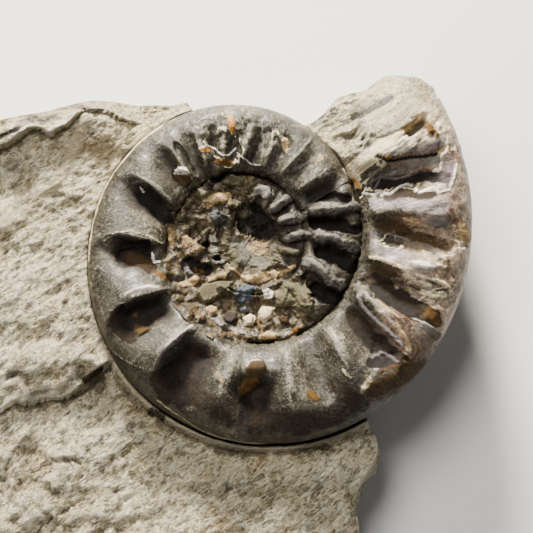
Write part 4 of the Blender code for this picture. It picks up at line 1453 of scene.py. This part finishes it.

# %% [markdown]
# ## Marks on the stone
#
# The stone has cream and grey areas, white veins and brown stains, with dark lines of painted shadow under
# its ledges and painted highlights along some lit edges. They are strokes as well, wide and weak for the
# areas and thin for the veins and the shadow lines. Only the face takes them, since the photograph shows no
# more.

# %% Strokes on the stone
STONE_STROKES = (
    # tone, half width in pixels, strength, rise in mm, and the line in pixels
    # painted highlight along the lit arc of the scoop's raised rim, on a low ridge
    ("cream", 6.0, 0.65, 0.12, ((0, 222), (22, 215), (50, 190), (66, 168), (78, 138), (86, 118))),
    # painted highlight on the lit top edge of the stone at the back
    ("cream", 5.0, 0.6, 0.0, ((0, 119), (30, 114), (60, 109), (90, 103), (130, 102), (180, 106))),
    ("grey", 10.0, 0.28, 0.0, ((12, 160), (16, 190), (20, 206))),
    ("cream", 34.0, 0.34, 0.0, ((0, 440), (30, 470), (60, 500))),
    ("grey", 15.0, 0.32, 0.0, ((6, 384), (30, 386), (58, 378), (76, 366))),
    ("white", 1.4, 0.9, 0.05, ((0, 276), (20, 291), (48, 322), (84, 350))),
    ("dark", 5, 0.9, -0.45, ((410, 131), (418, 126), (423, 123))),
    ("tan", 2.5, 0.8, 0.15, ((396, 138), (410, 126), (424, 119))),
    ("white", 1.2, 0.8, 0.05, ((54, 208), (88, 227))),
    ("cream", 30, 0.35, 0.0, ((10, 240), (40, 200), (70, 160))),
    ("tan", 18, 0.4, 0.0, ((100, 150), (118, 130))),
    # the four dark strokes below are painted shadow at the foot of ledges
    ("dark", 1.6, 0.35, -0.1, ((50, 408), (62, 411), (72, 417), (90, 428))),
    ("dark", 2.2, 0.35, -0.2, ((63, 458), (71, 460), (80, 465))),
    ("dark", 1.6, 0.3, -0.1, ((20, 472), (31, 478), (40, 486), (60, 498))),
    ("dark", 1.6, 0.3, -0.1, ((36, 506), (46, 514), (52, 520), (70, 533))),
    # the four grey strokes below are grooves over the lobe, greyed with the painted shade of its wrinkles
    ("grey", 4.5, 0.6, -0.22, ((355, 117), (372, 108), (389, 99))),
    ("grey", 5.0, 0.5, -0.20, ((314, 124), (334, 113))),
    ("grey", 4.0, 0.5, -0.16, ((334, 139), (353, 135))),
    ("grey", 3.0, 0.4, -0.10, ((372, 122), (392, 112), (410, 98))),
    # the lobe's pale rim, with a painted highlight where its edge catches the light
    ("cream", 2.6, 0.6, 0.10, ((343, 90), (368, 85), (389, 72), (416, 79), (432, 88))),
    ("tan", 5.0, 0.5, 0.0, ((420, 96), (432, 104))),
    # this stroke and the next two are painted shadow under the ledge at the upper left
    ("violet", 5.0, 0.5, -0.12, ((17, 126), (30, 119), (44, 120), (57, 117))),
    ("dark", 3.0, 0.6, -0.10, ((0, 137), (8, 132), (17, 129))),
    ("violet", 2.4, 0.5, -0.10, ((71, 105), (84, 107), (98, 111))),
    ("grey", 9.0, 0.26, 0.0, ((6, 166), (22, 160), (34, 152))),
    ("brown", 4.0, 0.7, -0.10, ((84, 381), (92, 375), (101, 369))),
    ("umber", 4.0, 0.35, -0.05, ((8, 374), (26, 374))),
    # this stroke and the next four are painted shadow under the steps at the lower left
    ("dark", 8.0, 0.22, -0.06, ((0, 402), (14, 400), (34, 396), (56, 394), (66, 392))),
    ("dark", 1.2, 0.5, -0.12, ((52, 429), (60, 420), (72, 410), (88, 411))),
    ("dark", 1.4, 0.4, -0.10, ((19, 447), (38, 454), (52, 460), (66, 462), (78, 459))),
    ("dark", 1.4, 0.6, -0.10, ((20, 489), (34, 480), (50, 471))),
    ("dark", 1.6, 0.6, -0.10, ((36, 533), (52, 518), (70, 508))),
    ("brown", 4.0, 0.4, 0.0, ((116, 372), (124, 386), (132, 396))),
    ("umber", 5.0, 0.6, -0.08, ((152, 412), (164, 418))),
)
FACE_HEIGHTS = (MID_HEIGHT - 3.6, MID_HEIGHT - 2.4)

stone_ragged = grain(stone_points, 1.2, 3, 21.0)
stone_colour, stone_amount, stone_rise, _ = painted(stone_points, STONE_STROKES, (), stone_ragged)
on_face = smooth(*FACE_HEIGHTS, stone_points[..., 2])
stone_points[..., 2] += stone_rise * on_face
print(len(STONE_STROKES), "strokes on the stone")

# %% The lip round the shell
# a narrow lip of stone climbs against the shell, higher where the face lies low
LIP_PLACE, LIP_WIDTH = 0.20, 0.28
LIP_LEAST, LIP_GROWTH, LIP_LEVEL, LIP_LOWEST = 0.16, 0.95, -0.3, 1.5

edge_gap = np.hypot(stone_points[..., 0], stone_points[..., 1]) - socket_edge[:, None]
lip = np.exp(-((edge_gap - LIP_PLACE) / LIP_WIDTH) ** 2) * (stone_points[..., 2] > FACE_HEIGHTS[1])
low_face = np.clip(MID_HEIGHT + LIP_LEVEL - stone_points[..., 2], 0.0, LIP_LOWEST)
lip_height = (LIP_LEAST + LIP_GROWTH * low_face) * lip * stands[:, None]
stone_points[..., 2] += lip_height
print("the lip is up to", round(float(lip_height.max()), 2), "mm high")

# %% Pits and knobs of the stone
SMOOTHINGS = 6
CAVITY_DEPTH = 0.16

smoothed = stone_points[..., 2].copy()
for _ in range(SMOOTHINGS):
    smoothed = (smoothed + np.roll(smoothed, 1, 0) + np.roll(smoothed, -1, 0)) / 3.0
    smoothed[:, 1:-1] = (smoothed[:, 1:-1] + smoothed[:, 2:] + smoothed[:, :-2]) / 3.0
cavity = np.clip((smoothed - stone_points[..., 2]) / CAVITY_DEPTH, -1.0, 1.0)
lobe = smooth(4.0, 6.0, stone_points[..., 0]) * smooth(8.0, 9.5, stone_points[..., 1])
print("cavity from", round(float(cavity.min()), 2), "to", round(float(cavity.max()), 2))

# %% [markdown]
# ## The stone's finish
#
# Limestone is made of grains, so its finish is a speckle of light and dark grains over slow clouds of
# grey, beige and ochre. The grains are stretched along the stone's layers. The pits of the relief are
# darker with dust and painted shade, the knobs are lighter, and a smooth cream band follows the shell.

# %% Finish of the stone
def limestone():
    """Clouds, stains and grains, then pits and knobs, the band along the shell, the lobe and strokes."""
    finish = Finish("limestone")
    cloud = finish.speckle(4.5, 5.0, 0.6)
    stain = finish.speckle(3.0, 4.0, 0.65, (0.6, 1.0, 1.0), GRAIN_DEG)
    grains = finish.speckle(0.18, 3.0, 0.7, (0.42, 1.0, 1.0), GRAIN_DEG)
    specks = finish.speckle(0.36, 5.0, 0.75, (0.55, 1.0, 1.0), GRAIN_DEG)
    drift = finish.speckle(1.3, 4.0, 0.7, (0.6, 1.0, 1.0), GRAIN_DEG)
    pits = finish.mask("cavity")
    colour = finish.mix(cloud.between(0.36, 0.64), srgb(212, 197, 162), srgb(246, 234, 202))
    colour = finish.mix(stain.between(0.54, 0.72) * 0.5, colour, srgb(212, 180, 134))
    colour = finish.mix(drift.between(0.50, 0.34) * 0.4, colour, srgb(154, 145, 130))
    dark_grain = (grains * 0.6 + specks * 0.5 + drift * 0.3).between(0.72, 0.61)
    colour = finish.mix(dark_grain * 0.62, colour, srgb(88, 74, 55))
    bright_grain = (grains * 0.6 + specks * 0.5).between(0.57, 0.64)
    colour = finish.mix(bright_grain * 0.75, colour, srgb(255, 249, 228))
    # painted shade, with dust, in the pits of the relief; the knobs are lighter
    colour = finish.mix(pits.between(0.2, 1.0) * 0.6, colour, srgb(92, 80, 62))
    colour = finish.mix(pits.between(-0.1, -0.9) * 0.5, colour, srgb(240, 233, 214))
    band = finish.mask("edge_gap").between(0.5, 0.15) * (0.5 + 0.5 * grains.between(0.35, 0.55))
    colour = finish.mix(band, colour, TONES["cream"])
    colour = finish.mix(finish.mask("lobe") * 0.35, colour, srgb(232, 222, 198))
    marks = (finish.mask("amount") + grains * 0.7 - 0.35).between(0.35, 0.65)
    colour = finish.mix(marks, colour, finish.colours("tint"))
    coarse = finish.bump(specks + grains * 0.6 + drift * 0.8, 0.42, 1.0)
    finish.wear(Base_Color=colour, Roughness=0.85 - 0.1 * grains,
                Normal=finish.bump(grains, 0.17, 0.9, coarse))
    return finish


stone_finish = limestone()
print("stone finish ready")

# %% The stone's mesh
stone_masks = {
    "tint": stone_colour,
    "amount": stone_amount * on_face,
    "edge_gap": edge_gap,
    "cavity": cavity,
    "lobe": lobe,
}
stone_middles = np.array(((0.0, 0.0, float(floor_edge.min())), (0.0, 0.0, 0.0)))
make_piece("matrix_stone", stone_points, stone_middles, True, stone_masks, stone_finish,
           "matrix")
